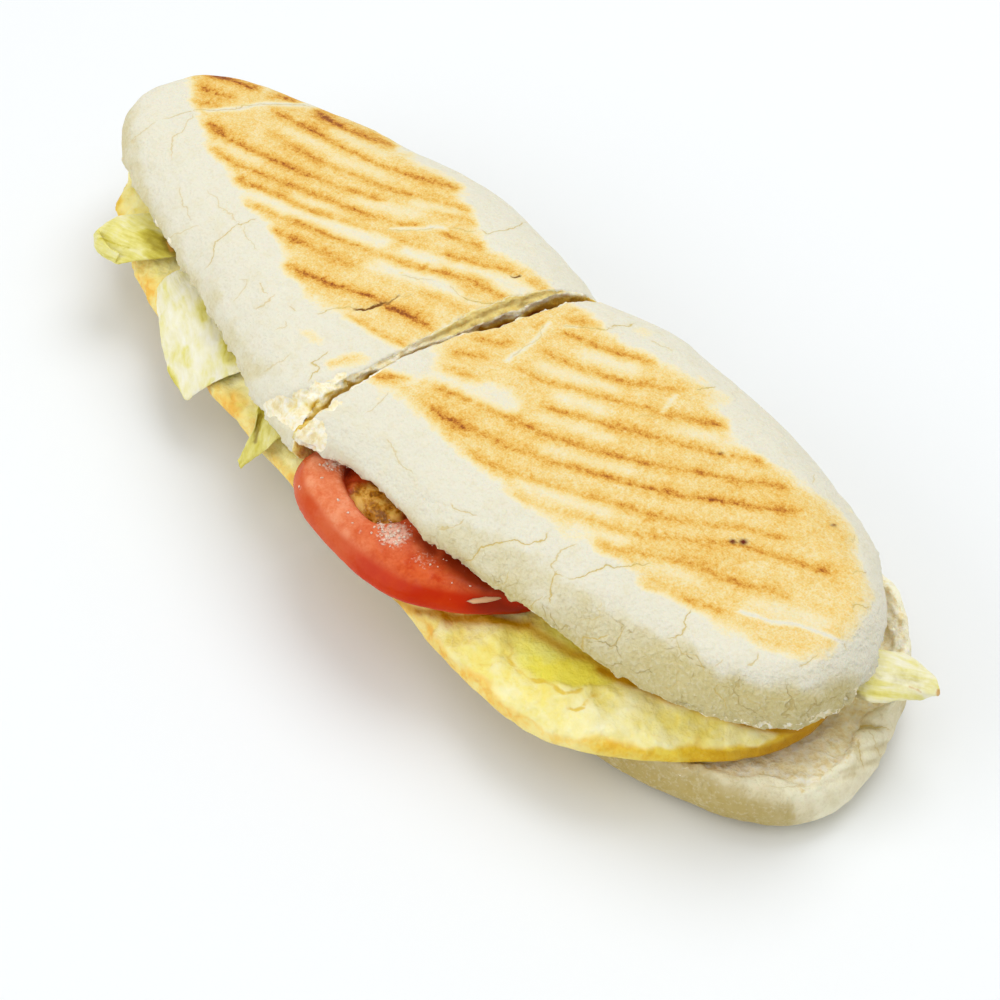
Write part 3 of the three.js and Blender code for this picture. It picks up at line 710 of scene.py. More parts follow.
PALE_FAR = [
    (1.0, 0.9, [(-78, 22), (-80.5, 19.6), (-83, 16.4), (-86, 13.6), (-88, 10), (-89.4, 5), (-92, 1.6),
        (-94.4, -2.4)]),
    (0.8, 0.7, [(-25, 20), (-28, 16), (-30, 13), (-31.5, 11), (-33.4, 8.6)]),
    (0.5, 2.0, [(-48, 7.4), (-42, 10.6), (-36, 14.8), (-31, 18.4)]),
    (0.5, 1.5, [(-39, 17.6), (-33, 21), (-27, 25.4)]), (0.45, 1.5, [(-57, -2.6), (-50, 0.6), (-43, 4)]),
    (0.4, 1.8, [(-64, 12.4), (-54, 16.4), (-46, 19.6)]), (0.4, 1.6, [(-78, 8.6), (-70, 11.6), (-62, 14)]),
    (0.4, 1.4, [(-84, -5.6), (-76, -4), (-68, -0.6)]), (0.4, 1.6, [(-72, 17.6), (-62, 20.4), (-52, 24)]),
]
# Stray toasted strokes: strength, half width and line
SPOTS_FAR = [
    (0.55, 1.3, [(-18.6, -25), (-15, -24.8), (-10.3, -24)]),
    (1.0, 1.7, [(-6.4, -28.4), (-5, -25.8), (-3.2, -22), (-1, -17.6)]),
    (0.9, 0.7, [(-28.8, 3), (-28.2, 4.2)]), (0.7, 0.6, [(-28, 1.6), (-27.4, 2.4)]),
    (0.8, 0.7, [(-20.2, 2.6), (-19.4, 3.2)]), (0.8, 0.7, [(-6.6, 22.7), (-5.8, 23.1)]),
]
SPOTS_NEAR = [(0.4, 1.8, [(24, 32.4), (30, 33.6)]), (0.5, 2.2, [(50, 32), (56, 33.4)])]
# Hotter places and small burned flecks: strength, radius, middle
HOT_NEAR = [
    (0.7, 8, (84, 23)), (0.8, 7, (86, 3)), (0.6, 5, (103, 19)), (0.8, 7, (24, -16)), (0.5, 6, (78, 19)),
    (0.5, 6, (95, 25)), (0.4, 5, (37, -16)),
]
HOT_FAR = [
    (1.0, 6, (-102, 9)), (0.8, 6, (-97, 5)), (0.9, 5, (-84, -2.6)), (0.7, 8, (-66, 6)),
    (0.8, 5, (-74, 19)), (0.8, 5, (-7, -4)), (0.5, 6, (-32, -7)), (0.6, 5, (-8, 13.6)),
    (0.5, 5, (-40, 26)),
]
FLECKS_NEAR = [
    (1.0, 1.0, (86.3, 10.6)), (1.0, 0.8, (84.9, 9)), (0.8, 0.6, (64.9, 22.8)), (0.8, 0.6, (93.8, 27.9)),
]


def toast_and_lines(piece, marks):
    """Marks where the crust is toasted and where the ribs burned it, and presses the ribs in."""
    places, normals = places_of(piece), normals_of(piece)
    glass = on_glass(places)
    on_top = ease(0.3, 0.75, normals[:, 2])
    uneven = 1.6 * lumps(places, 6, 11) + 0.9 * crags(places, 1.6, 12)
    band, core = np.zeros(len(places)), np.zeros(len(places))
    core_waver, band_waver = 0.3 * lumps(places, 3, 13), 0.6 * lumps(places, 9, 16)
    patchy = 0.9 + 0.35 * lumps(places, 8, 14)
    for darkness, stroke in marks["lines"]:
        gap, _, along = gap_to(glass, soft_line(stroke))
        here = darkness * tapered(along, stroke, 4) * patchy
        core = np.maximum(core, here * np.exp(-((gap + core_waver) / CORE_HALF) ** 2))
        band = np.maximum(band, here * np.exp(-((gap + band_waver) / BAND_HALF) ** 2))
    toast = ease(-1.7, 3.0, inside(glass, marks["toast"]) + uneven + 2.6 * (band - 0.35))
    for outline in marks["bare"]:
        toast *= 1 - 0.78 * ease(-1.7, 1.8, inside(glass, outline) + 0.6 * uneven)
    streaky = shaken(glass, places, 3, 0.5, 15)
    for streak in marks["pale"]:
        toast *= 1 - drawn(streaky, [streak])
    smeared = shaken(shaken(glass, places, 4, 0.9, 17), places, 1.4, 0.6, 19)
    toast = np.maximum(toast, drawn(smeared, marks["spots"]))
    line = (0.5 * band + 0.36 * core) * on_top
    mark(piece, "toast", toast * on_top)
    mark(piece, "grill", line)
    mark(piece, "hot_spot", dotted(glass + uneven[:, None], marks["hot"]) * toast * on_top)
    mark(piece, "fleck", dotted(glass, marks["flecks"]))
    push(piece, -RIB_DEPTH * line)


# %% [markdown]
# ## Cracks and torn places
# The thin crust broke when the loaf was pressed. A crack is a hairline with slightly lifted
# edges. At the ends of the knife cut and here and there along the rim the crust came off
# and the white crumb shows, rough and full of pits. Cutting them out of the solid would tear
# its surface, so points near a drawn line are sunk or raised a little and marked for colour.

# %% Where the crust is cracked
CRACKS_NEAR = [
    (0.9, [(93.6, -8.6), (94.6, -11), (96.4, -13.2), (97.3, -15), (96.8, -17), (96.4, -18.6)]),
    (0.6, [(97.5, -16.4), (100.7, -17.5), (103.6, -16.4), (107, -17.1)]),
    (0.5, [(107, -15), (106.8, -12)]),
    (0.7, [(110.7, -17.1), (111, -18.6), (114.3, -18.2), (116.4, -19.6)]),
    (1.0, [(79.3, -7.1), (77.9, -12.1), (77.1, -14.6), (75, -15.4), (73.9, -19.3), (73.2, -22.1),
        (72.1, -23.6)]),
    (0.9, [(72.1, -23.6), (70.7, -25), (72.5, -27.1), (75, -29.3), (77, -30)]),
    (0.7, [(66.4, -16.4), (65.7, -19.3), (67.5, -22.1), (67.5, -24.6), (70.7, -25)]),
    (1.0, [(61, -18.6), (61.6, -22.1), (60.7, -23.6), (58.2, -25.4), (57.1, -27.1), (56.6, -29.3),
        (56.4, -32.1), (57.1, -34.3), (57.9, -36.4), (57.5, -39)]),
    (0.6, [(47.6, -36), (47.8, -33), (48.4, -30)]), (0.7, [(42.9, -29.6), (46.4, -29.3), (49.3, -27.1)]),
    (0.6, [(89.3, -22.1), (90.4, -25), (91.8, -27.9)]),
    (0.9, [(89, -25.7), (86.8, -29.6), (88.6, -31.4), (90, -32.9)]),
    (0.8, [(73.6, -30), (74.3, -33.6), (77.9, -34.3)]), (0.7, [(110, -5.7), (110.7, -10)]),
    (0.9, [(111.8, 16.4), (112.9, 17.9), (114.6, 18.6)]),
    (0.7, [(117.1, 2.9), (117.5, 0.7), (116.4, -2.1)]), (0.6, [(118, 9.5), (120, 8.6)]),
    (0.5, [(9.3, -20.7), (10.7, -24.3), (11.8, -28.6)]), (0.5, [(46.8, 15.7), (47.5, 17.9), (48.6, 20)]),
    (1.0, [(48.6, 31), (49, 33), (49.4, 35)]), (0.9, [(21.4, 28.6), (23.6, 31.4), (24.6, 33.6)]),
    (0.8, [(15.4, 21), (20, 25), (22.9, 29.3)]), (0.5, [(13.2, 18), (14.6, 14.3), (16, 10), (16.4, 5)]),
    (0.5, [(98.6, 30), (99, 27)]), (0.6, [(105.7, 22), (107, 25)]), (0.5, [(80.8, 33.6), (83, 32.4)]),
    (0.5, [(30, 33.4), (33, 33), (36, 33.6)]), (0.5, [(20, -30), (27, -31.6), (32, -31)]),
    (0.4, [(104, -20), (106, -23), (105, -26)]), (0.4, [(118, -12), (121, -9), (122, -5)]),
    (0.4, [(116, -15), (119, -14), (122, -15)]), (0.5, [(64.5, -31), (66, -34), (65, -37)]),
    (0.4, [(81, -22), (84, -24), (83, -28)]),
]
CRACKS_FAR = [
    (0.9, [(-54.3, -12), (-54.1, -15.8), (-55.1, -17.4), (-54.1, -19.9), (-53.3, -22), (-52.8, -24.5),
        (-50.1, -27), (-47.4, -29.7), (-46.5, -33)]),
    (0.45, [(-54, -16.6), (-52, -17.8), (-49, -18.5), (-44.5, -18.7)]),
    (0.45, [(-69, -16), (-62, -16.8), (-58.3, -16.4), (-55.1, -17.8)]),
    (0.6, [(-35.3, -24.5), (-32.4, -24.7), (-31.4, -24.1)]),
    (0.6, [(-30.3, -23.3), (-29.3, -25.8), (-28.7, -29.5)]), (0.6, [(-25.3, -23.5), (-23.5, -22.6)]),
    (0.5, [(-22, -26.4), (-20.3, -26.6), (-21, -30.3)]),
    (0.9, [(-9.3, -24.9), (-8.3, -27), (-7.4, -28.9), (-5.8, -28.7), (-4.3, -30.3), (-3, -33.5)]),
    (0.8, [(-16.2, -12.8), (-17.8, -13.9), (-18.7, -15.8), (-19.1, -18.3), (-19.5, -19.9)]),
    (0.6, [(-12.6, 0.2), (-12.6, -1.8)]), (0.5, [(-10, 8.6), (-5.8, 8)]),
    (1.0, [(-5.8, 8), (-3.7, 8.8), (-1.6, 9.5), (-0.8, 10.7), (0.1, 12.2), (1.8, 13.8), (3.2, 14.7)]),
    (0.5, [(-19, 1.6), (-16.2, 3.8), (-14.1, 5.5), (-12, 7)]),
    (0.9, [(-21, 24.6), (-17.8, 25.9), (-16.8, 28.8), (-16.2, 32.6), (-16, 36)]),
    (0.7, [(-24.5, 20.6), (-22.6, 22), (-21, 23.6)]),
    (0.6, [(-27, 17), (-29, 13.6), (-31.6, 10.8), (-33.4, 8)]),
    (0.8, [(-79, 20.4), (-82.6, 16.4), (-86, 13), (-88.4, 9), (-89.4, 5), (-92, 1), (-95, -3),
        (-96.4, -8), (-97, -13)]),
    (0.6, [(-94, -4), (-91, -10), (-88, -14), (-83, -18)]), (0.5, [(-97, -13), (-96, -18), (-93, -22)]),
    (0.5, [(-74, -21), (-68, -23.6), (-62, -24.6)]), (0.5, [(-59.6, -24), (-60, -28), (-60, -33)]),
    (0.6, [(-58, 27.6), (-54, 28.8), (-50, 29.9)]),
    (0.4, [(-40, -27), (-37, -26), (-35, -28), (-34, -33)]), (0.4, [(-12, -31), (-13, -35), (-11, -39)]),
]
DEEP_CRACKS_FAR = [
    (0.6, [(-14.1, -2.2), (-13.5, -4.5), (-13.7, -6.6)]),
    (1.0, [(-13.7, -6), (-14.7, -8.7), (-15.5, -11.2), (-16.2, -13)]),
    (0.9, [(-3.2, 23), (-3.6, 21.8), (-4.2, 20.7)]),
]
CRACK_HALF_WIDTH = 0.6
# Torn places: centre, radius, how deep the crust is gone there
TORN_NEAR = [((7, -41), 4.2, 0.3), ((11, -43), 4.0, 0.25), ((5, -33.6), 2.0, 0.3)]
TORN_FAR = [
    ((0.6, -27), 2.4, 0.5), ((-0.6, -32), 2.6, 0.6), ((1, -36), 3.2, 0.7), ((3, -41), 4.4, 0.6),
    ((-1, -43), 2.8, 0.4), ((-60, -33.5), 2.4, 0.35), ((-66, -32), 1.8, 0.35),
]
# Folds and hollows of the torn corner, pressed in and painted darker as shade: depth, half width and line
HOLLOW_FAR = [
    (0.7, 1.7, [(1.4, -39), (2.8, -36.2), (3.2, -33.4)]), (0.55, 0.9, [(3.4, -33.8), (1.6, -29.9)]),
    (0.55, 0.9, [(2.2, -27.6), (1.2, -25.6)]),
    (0.32, 0.5, [(-2.7, -36), (-3, -32.2), (-2.7, -30.7), (-1.4, -28)]),
    (0.32, 0.7, [(1.7, -42.5), (-0.9, -39.2), (-1.4, -37.3)]),
]
HOLLOW_NEAR = [
    (0.6, 0.4, [(5.9, -38.3), (6.4, -39.8), (7.2, -42.9)]), (0.24, 1.2, [(4.6, -31.6), (6.4, -34.8)]),
    (0.35, 0.5, [(40.4, -35.2), (42, -36.2)]), (0.3, 0.4, [(37, -33.4), (40, -31.6), (44, -31.4)]),
]


def cracks_in(piece, places, seen, marks, seed):
    """Marks the cracks, and says how far they lift or sink each point."""
    closest, side, present, deep = np.full(len(places), 99.0), np.ones(len(places)), 0.0, 0.0
    jagged = shaken(shaken(on_glass(places), places, 3.2, 0.8, seed), places, 1.4, 0.35, seed + 3)
    for strength, stroke in marks["cracks"] + marks["deep"]:
        gap, which, along = gap_to(jagged, stroke)
        ends = ease(0, 0.08, along) * ease(1, 0.85, along)
        near = gap < closest
        closest, side = np.where(near, gap, closest), np.where(near, which, side)
        present = np.where(near, strength * ends, present)
        deep = np.where(near, float((strength, stroke) in marks["deep"]), deep)
    present = present * seen
    groove = np.exp(-(closest / CRACK_HALF_WIDTH) ** 2)
    lip = np.exp(-((closest - 1.4) / 0.8) ** 2) * (side > 0)
    mark(piece, "crack_side", closest * side)
    mark(piece, "crack", present * ease(1.2, 0.6, closest))
    mark(piece, "deep_crack", deep * present * ease(1.2, 0.6, closest))
    return present * (0.08 * lip - (0.05 + 0.6 * deep) * groove)


def crack_and_tear(piece, marks, seed):
    """Works cracks, torn places and hollows in, and says where the crust is gone and how deep the painted
    shade of its hollows is.
    """
    places, normals = places_of(piece), normals_of(piece)
    glass = on_glass(places)
    seen = ease(0.05, 0.25, facing_eye(places, normals))
    lift = cracks_in(piece, places, seen, marks, seed)
    gone, shaded_hollow = np.zeros(len(places)), np.zeros(len(places))
    crumbling = 1.6 * crags(places, 4, seed + 5)
    for centre, radius, depth in marks["torn"]:
        gap = np.linalg.norm(glass - np.array(centre), axis=1) + crumbling
        here = ease(radius + 0.7, radius - 0.7, gap) * seen
        flake = 0.08 * np.exp(-((gap - radius - 0.7) / 0.5) ** 2) * seen
        lift = lift - depth * here + flake
        gone = np.maximum(gone, here)
    ragged = shaken(shaken(glass, places, 3, 0.8, seed + 8), places, 1.2, 0.4, seed + 9)
    # Hollows are pressed in, and their painted shade is kept for the colour.
    for depth, half, stroke in marks["shaded_hollow"]:
        here = drawn(ragged, [(1.0, half, stroke)]) * seen
        lift = lift - 0.9 * depth * here
        shaded_hollow = np.maximum(shaded_hollow, depth * here)
    push(piece, lift + gone * 0.22 * crags(places, 3.0, seed + 6))
    return gone, shaded_hollow


# %% [markdown]
# ## The upper bread
# The two halves of the upper bread get the same work. Slow waves and small bumps roughen
# the crust with displace modifiers and cloud textures. The cut side, the underside and the
# torn places become open crumb, which is rougher, and the lower edge is ragged. The knife
# tore the bread more than it cut it, so the upper edge of the cut slopes off as torn crumb,
# wide in the middle and narrow at the sides, and painted shade darkens it deep in the cut.
# Low on the flank the flour is worn away in places, and flanks that face down, most at the
# near end and at the front, are painted darker straw as shade.

# %% Relief with a displace modifier
WEIGHT_STEPS = 8


def relief(piece, pattern, size, height, amounts=None):
    """Raises and lowers the surface by a soft pattern, more where the amounts are larger."""
    texture = bpy.data.textures.new(pattern.lower(), pattern)
    texture.noise_scale = size * MM
    options = {"texture": texture, "strength": height * MM, "mid_level": 0.5, "texture_coords": "LOCAL"}
    if amounts is not None:
        group = piece.vertex_groups.new(name="here")
        for step in range(1, WEIGHT_STEPS + 1):
            chosen = np.flatnonzero(np.round(amounts * WEIGHT_STEPS) == step)
            group.add(chosen.tolist(), step / WEIGHT_STEPS, "REPLACE")
        options["vertex_group"] = group.name
    work(piece, "DISPLACE", **options)
    piece.vertex_groups.clear()


def finish(piece, skin):
    """Gives a piece its finish and the body it rides on."""
    piece.data.materials.append(skin)
    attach(piece, "root")
    print(piece.name, len(piece.data.polygons), "faces")


def dress(piece, node, skin):
    """Finishes a piece that stands for a plain solid."""
    finish(piece, skin)
    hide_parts(node)


# %% The two halves of the upper bread
# Where the flour has come off below the cracks, down to the rim
STRAW_NEAR = [
    (44, -36), (50, -29.5), (57, -26.5), (66, -24.6), (72, -23.6), (79, -20.6), (88, -19), (96, -17),
    (104, -16.8), (112, -14), (118, -9), (122, -3), (123, 5), (136, 6), (136, -40), (100, -62), (60, -62),
    (46, -50),
]
STRAW_FAR = [
    (-118, -12), (-108, -10), (-100, -16), (-90, -22), (-78, -26), (-66, -28), (-54, -31), (-40, -33.6),
    (-24, -36), (-10, -38), (-10, -56), (-60, -50), (-120, -30),
]


def on_the_cut(places, normals, cut_way):
    """1 on the knife's face, which looks along the loaf near the middle."""
    return ease(0.45, 0.8, normals[:, 0] * cut_way) * ease(20, 12, np.abs(places[:, 0] / MM))


# How much of a face a point is from which it counts, and places across the loaf to measure at
ON_FACE = 0.3
MEASURED_AT, MEASURED_ROUND = np.arange(-50, 51, 2.0), 2.5


def edge_of_cut(places, cut, values):
    """The largest value that the cut face has at each point's place across the loaf."""
    across = places[:, 1] / MM
    near = [(step, (cut > ON_FACE) & (np.abs(across - step) < MEASURED_ROUND)) for step in MEASURED_AT]
    found = [(step, np.max(values[chosen])) for step, chosen in near if np.any(chosen)]
    return np.interp(across, *zip(*found))


def below_the_rim(places, cut):
    """How far a point of the cut face lies below the crust over it, in millimetres."""
    height = places[:, 2] / MM
    return edge_of_cut(places, cut, height) - height


def short_of_the_cut(places, cut, cut_way):
    """How far a point lies from the cut face, along the loaf, in millimetres."""
    along = cut_way * places[:, 0] / MM
    return edge_of_cut(places, cut, along) - along


# The broken edge at the knife cut. Each row: where across the loaf, how wide the torn slope is,
# how far the face stands back, and how dark the painted shade inside is there
CUT_EDGE_FAR = [
    (-46, 0.8, -1.1, 0.4), (-40, 1.0, -0.8, 0.5), (-36, 1.2, 0, 0.5), (-29, 1.0, 0, 0.4),
    (-22, 0.7, 0, 0.6), (-10, 1.4, 0, 0.55), (-2, 1.6, 0, 0.5), (4, 2.2, 0.2, 0.75), (9, 3.0, 0.3, 1.0),
    (16, 2.8, 0.3, 1.0), (21, 2.0, 0.2, 0.7), (27, 1.3, 0, 0.6), (34, 0.8, 0, 0.6),
]
CUT_EDGE_NEAR = [
    (-46, 0.3, -1.8, 0.4), (-42, 0.5, -1.8, 0.5), (-38, 0.6, -0.8, 0.5), (-34, 0.8, 0, 0.5),
    (-30, 0.4, -1.0, 0.5), (-25, 0.2, 0, 0.6), (-16, 0.2, -0.4, 0.6), (0, 0.2, 0, 0.6),
    (5, 0.2, 0.8, 0.8), (9, 0.3, 2.0, 0.9), (15, 0.3, 1.9, 0.9), (24, 0.3, 1.2, 0.7), (32, 0.3, 0.4, 0.5),
]


def tear_the_cut(piece, cut, cut_way, edge, seed):
    """Sets the cut face back to where it broke, slopes its upper edge off as torn crumb and paints shade deep
    in the cut.
    """
    places, normals = places_of(piece), normals_of(piece)
    level = on_glass(places)[:, 1]
    stations, *columns = zip(*edge)
    slope, back, inside_shade = (np.interp(level, stations, column) for column in columns)
    short = np.where(cut > ON_FACE, 0, short_of_the_cut(places, cut, cut_way))
    below = np.where(cut > ON_FACE, below_the_rim(places, cut), 0)
    rough = slope * (1 + 0.22 * crags(places, 3.4, seed + 12))
    missing = np.clip(rough - short - 1.2 * below, 0, None) * ease(-0.1, 0.3, normals[:, 2] + cut)
    places[:, 0] -= cut_way * MM * (0.5 * missing + back * ease(9, 0, short))
    places[:, 2] -= 0.5 * MM * missing
    put(piece, places)
    torn = ease(0, 0.35, missing)
    depth = below + 0.5 * missing
    # Painted shade: the crumb is coloured darker deeper down the cut face and the torn slope.
    shade = inside_shade * ease(0.9 * slope, 1.5 * slope + 1.2, depth) * np.maximum(cut, torn)
    lip = ease(1.0, 0.3, short + 0.5 * crags(places, 3, seed + 12)) * ease(-8, 4, level)
    # Painted warm shade: the torn slope takes a golden tint, more towards the back.
    golden_shade = 0.12 + 0.24 * ease(-12, 2, level)
    return torn, np.maximum(shade, golden_shade * torn), lip


def upper_bread(node, name, cut_way, edge, marks, seed):
    """One half of the upper bread. Its cut side looks along the loaf, forwards or back."""
    piece = start_from(node, name)
    fine_skin(piece, 0.58 * MM, 14)
    places, normals = places_of(piece), normals_of(piece)
    along = in_plan(places)[:, 0]
    cut = on_the_cut(places, normals, cut_way)
    under = ease(-0.6, -0.85, normals[:, 2])
    crumb = np.maximum(cut, under)
    flank = ease(0.97, 0.6, normals[:, 2]) * (1 - crumb)
    near_end = ease(60, 105, along) * flank
    rim = ease(-0.75, -0.35, normals[:, 2]) * ease(0.2, -0.25, normals[:, 2]) * (1 - cut)
    torn, cut_shade, lip = tear_the_cut(piece, cut, cut_way, edge, seed)
    relief(piece, "CLOUDS", 18, 0.8)
    relief(piece, "CLOUDS", 5, 0.25, 0.4 + 0.6 * flank)
    relief(piece, "VORONOI", 3.0, 0.3, near_end)
    foamy = 0.7 * crumb * (1 - torn) * crags(places, 2.8, seed) + 0.35 * torn * crags(places, 1.7, seed)
    push(piece, foamy + rim * (1.0 * crags(places, 2.6, seed + 9) - 0.3))
    gone, shaded_hollow = crack_and_tear(piece, marks, seed)
    rim_flecks = rim * ease(0.1, 0.6, crags(places, 1.6, seed + 3) + 0.5 * near_end - 0.2)
    rim_flecks *= 0.25 + 0.35 * ease(90, 112, along)
    mark(piece, "crumb", np.maximum.reduce([crumb, 0.9 * gone, rim_flecks, 1.5 * shaded_hollow, torn, 0.8 * lip]))
    # Painted shade in hollows and deep in the cut.
    mark(piece, "shaded_hollow", np.maximum(shaded_hollow, cut_shade))
    glass = on_glass(places)
    flour_gone = ease(-2.6, 3.0, inside(glass, marks["straw"]) + 1.6 * crags(places, 5, seed + 13))
    # Painted shade: flanks that face down, most at the near end and at the front, take the straw colour.
    painted_low_shade = ease(0.95, 0.3, normals[:, 2]) * (0.4 + 0.5 * ease(20, 80, along)) * ease(12, -2, glass[:, 1])
    # Inside the straw outline the flour is worn off, and towards the near end's front the straw is deepened
    # as painted shade.
    worn_and_shaded = 0.42 + 0.42 * ease(82, 104, glass[:, 0]) * ease(0, -8, glass[:, 1])
    mark(piece, "bare", np.maximum(0.8 * painted_low_shade, worn_and_shaded * flour_gone) + 0.25 * flour_gone * painted_low_shade)
    mark(piece, "scaly", (0.35 + 0.65 * ease(20, 80, along)) * ease(0.99, 0.8, normals[:, 2]))
    toast_and_lines(piece, marks)
    dress(piece, node, upper_crust)


FAR_MARKS = {"toast": TOAST_FAR, "bare": BARE_FAR, "pale": PALE_FAR, "spots": SPOTS_FAR, "hot": HOT_FAR,
             "flecks": [], "lines": GRILL_LINES_FAR, "cracks": CRACKS_FAR, "deep": DEEP_CRACKS_FAR,
             "torn": TORN_FAR, "shaded_hollow": HOLLOW_FAR, "straw": STRAW_FAR}
NEAR_MARKS = {"toast": TOAST_NEAR, "bare": BARE_NEAR, "pale": PALE_NEAR, "spots": SPOTS_NEAR, "hot": HOT_NEAR,
              "flecks": FLECKS_NEAR, "lines": GRILL_LINES_NEAR, "cracks": CRACKS_NEAR, "deep": [],
              "torn": TORN_NEAR, "shaded_hollow": HOLLOW_NEAR, "straw": STRAW_NEAR}
upper_bread("bread_upper_far", "upper_bread_far_half", 1, CUT_EDGE_FAR, FAR_MARKS, 20)
upper_bread("bread_upper_near", "upper_bread_near_half", -1, CUT_EDGE_NEAR, NEAR_MARKS, 40)

# %% [markdown]
# ## The lower bread
# It was not marked by the grill. Its flank is smoother, and its upper side is the open
# crumb where the loaf was split. Round the near end the crust rolls in over the edge, and
# the crumb starts at a ragged lip. Where it was folded over there, it has a few creases with
# fine wrinkles. Painted shade turns the crust straw close to the board, more on the front than
# at the end, and in the creases; painted light makes the end paler, and painted shade darkens
# the crumb further in under the upper bread.

# %% The two halves of the lower bread
LIP_NEAR = [
    (0, -31), (40, -31), (80, -27), (100, -21.5), (112, -15.5), (116, -12), (118, -8.5), (123, -6.5),
    (125.2, -2.5), (124.9, 2.5), (123.4, 8), (121, 12), (119, 18), (118, 26), (111, 35), (98, 42),
    (74, 43), (50, 43.5), (28, 41), (0, 36),
]
LIP_FAR = [
    (10, -31.5), (-25, -30), (-50, -27), (-75, -23), (-95, -18.5), (-108, -13), (-114, -6), (-115, 2),
    (-110, 10), (-98, 19), (-80, 28), (-58, 33), (-35, 38.5), (-12, 38.5), (10, 35),
]
# Creases: strength, half width and line. They press the crust in, and their straw colour is painted shade.
CREASES_NEAR = [
    (1.0, 0.9, [(133.6, -4.2), (134.2, -3.4), (135.3, -0.6), (138, 1.8)]),
    (0.5, 0.8, [(135, -4.4), (137.6, -6), (142.1, -8)]), (0.4, 0.7, [(137, -9), (139.4, -5), (141, 0)]),
    (0.4, 0.7, [(140, -14), (141.6, -9), (143, -3)]),
    (0.35, 0.7, [(138, -20), (141.4, -14), (142.6, -9)]),
    (0.35, 0.7, [(135.5, -12), (136.6, -8), (138, -4)]),
]
WRINKLES_NEAR = [
    (1.0, [(133.4, -4.4), (134.2, -3.4), (135.3, -0.6), (138.5, 2)]),
    (0.7, [(135, -4.4), (138.6, -6.2), (142.6, -8.4)]), (0.5, [(136, -1.6), (139.6, -3), (143, -4)]),
    (0.5, [(132, -15), (136, -13), (139, -13.6)]), (0.5, [(126, -24), (130, -22.6), (132, -19)]),
    (0.4, [(134, -26), (137, -23), (139, -18)]),
]


def lower_bread(node, name, cut_way, lip, creases, wrinkles, seed):
    """One half of the lower bread. Inside the lip its upper side is open crumb."""
    piece = start_from(node, name)
    fine_skin(piece, 0.7 * MM, 8)
    places, normals = places_of(piece), normals_of(piece)
    cut = on_the_cut(places, normals, cut_way)
    within = inside(in_plan(places), lip) + 0.8 * crags(places, 3, seed + 1)
    face_up = ease(0.05, 0.35, normals[:, 2])
    upper = ease(-0.3, 0.5, within) * face_up
    crumb = np.maximum(cut, upper)
    clear_of_board = ease(1.5, 4, places[:, 2] / MM)
    relief(piece, "CLOUDS", 14, 0.8, clear_of_board)
    relief(piece, "CLOUDS", 4, 0.35, clear_of_board)
    lip_ridge = np.exp(-((within + 0.7) / 0.8) ** 2) * face_up
    crease = drawn(shaken(on_glass(places), places, 4, 0.6, seed + 3), creases)
    push(piece, crumb * (0.55 * crags(places, 2.4, seed) - 0.4) + 0.6 * lip_ridge - 1.0 * crease)
    crack_and_tear(piece, {"cracks": wrinkles, "deep": [], "torn": [], "shaded_hollow": []}, seed)
    mark(piece, "crumb", np.maximum(crumb, 0.55 * lip_ridge * ease(-0.2, 0.4, crags(places, 2, seed + 5))))
    # Painted light and shade: the end is painted paler, and low on the flank, more on the front than at the
    # end, and in the creases, the crust is painted straw as shade.
    at_end = ease(112, 126, in_plan(places)[:, 0])
    painted_low_shade = ease(18, 10, places[:, 2] / MM) * (1 - 0.7 * at_end * ease(-0.7, -0.2, normals[:, 1]))
    mark(piece, "bare", 0.1 - 0.14 * at_end + 0.6 * crease + 0.85 * painted_low_shade)
    mark(piece, "scaly", 0.3 * (1 - crumb))
    # Painted shade: the crumb darkens further inside the lip, under the upper bread.
    mark(piece, "shaded_hollow", upper * (0.07 + 0.08 * ease(1, 5, within) + 0.04 * crags(places, 3, seed + 7)))
    dress(piece, node, lower_crust)


lower_bread("bread_lower_far", "lower_bread_far_half", 1, LIP_FAR, [], [], 60)
lower_bread("bread_lower_near", "lower_bread_near_half", -1, LIP_NEAR, CREASES_NEAR, WRINKLES_NEAR, 80)

# %% [markdown]
# ## The omelette
# Egg cooked flat has a smooth, deep yellow skin where it touched the pan, which shows round
# the lower edge, and a pale, curdled face. Near the tomato the face has split: the upper
# fold is smoother and lemon yellow, with a ragged crack below it. Curds have no pattern, so
# soft noise makes them, both as lumps of the surface and as shades of its colour.

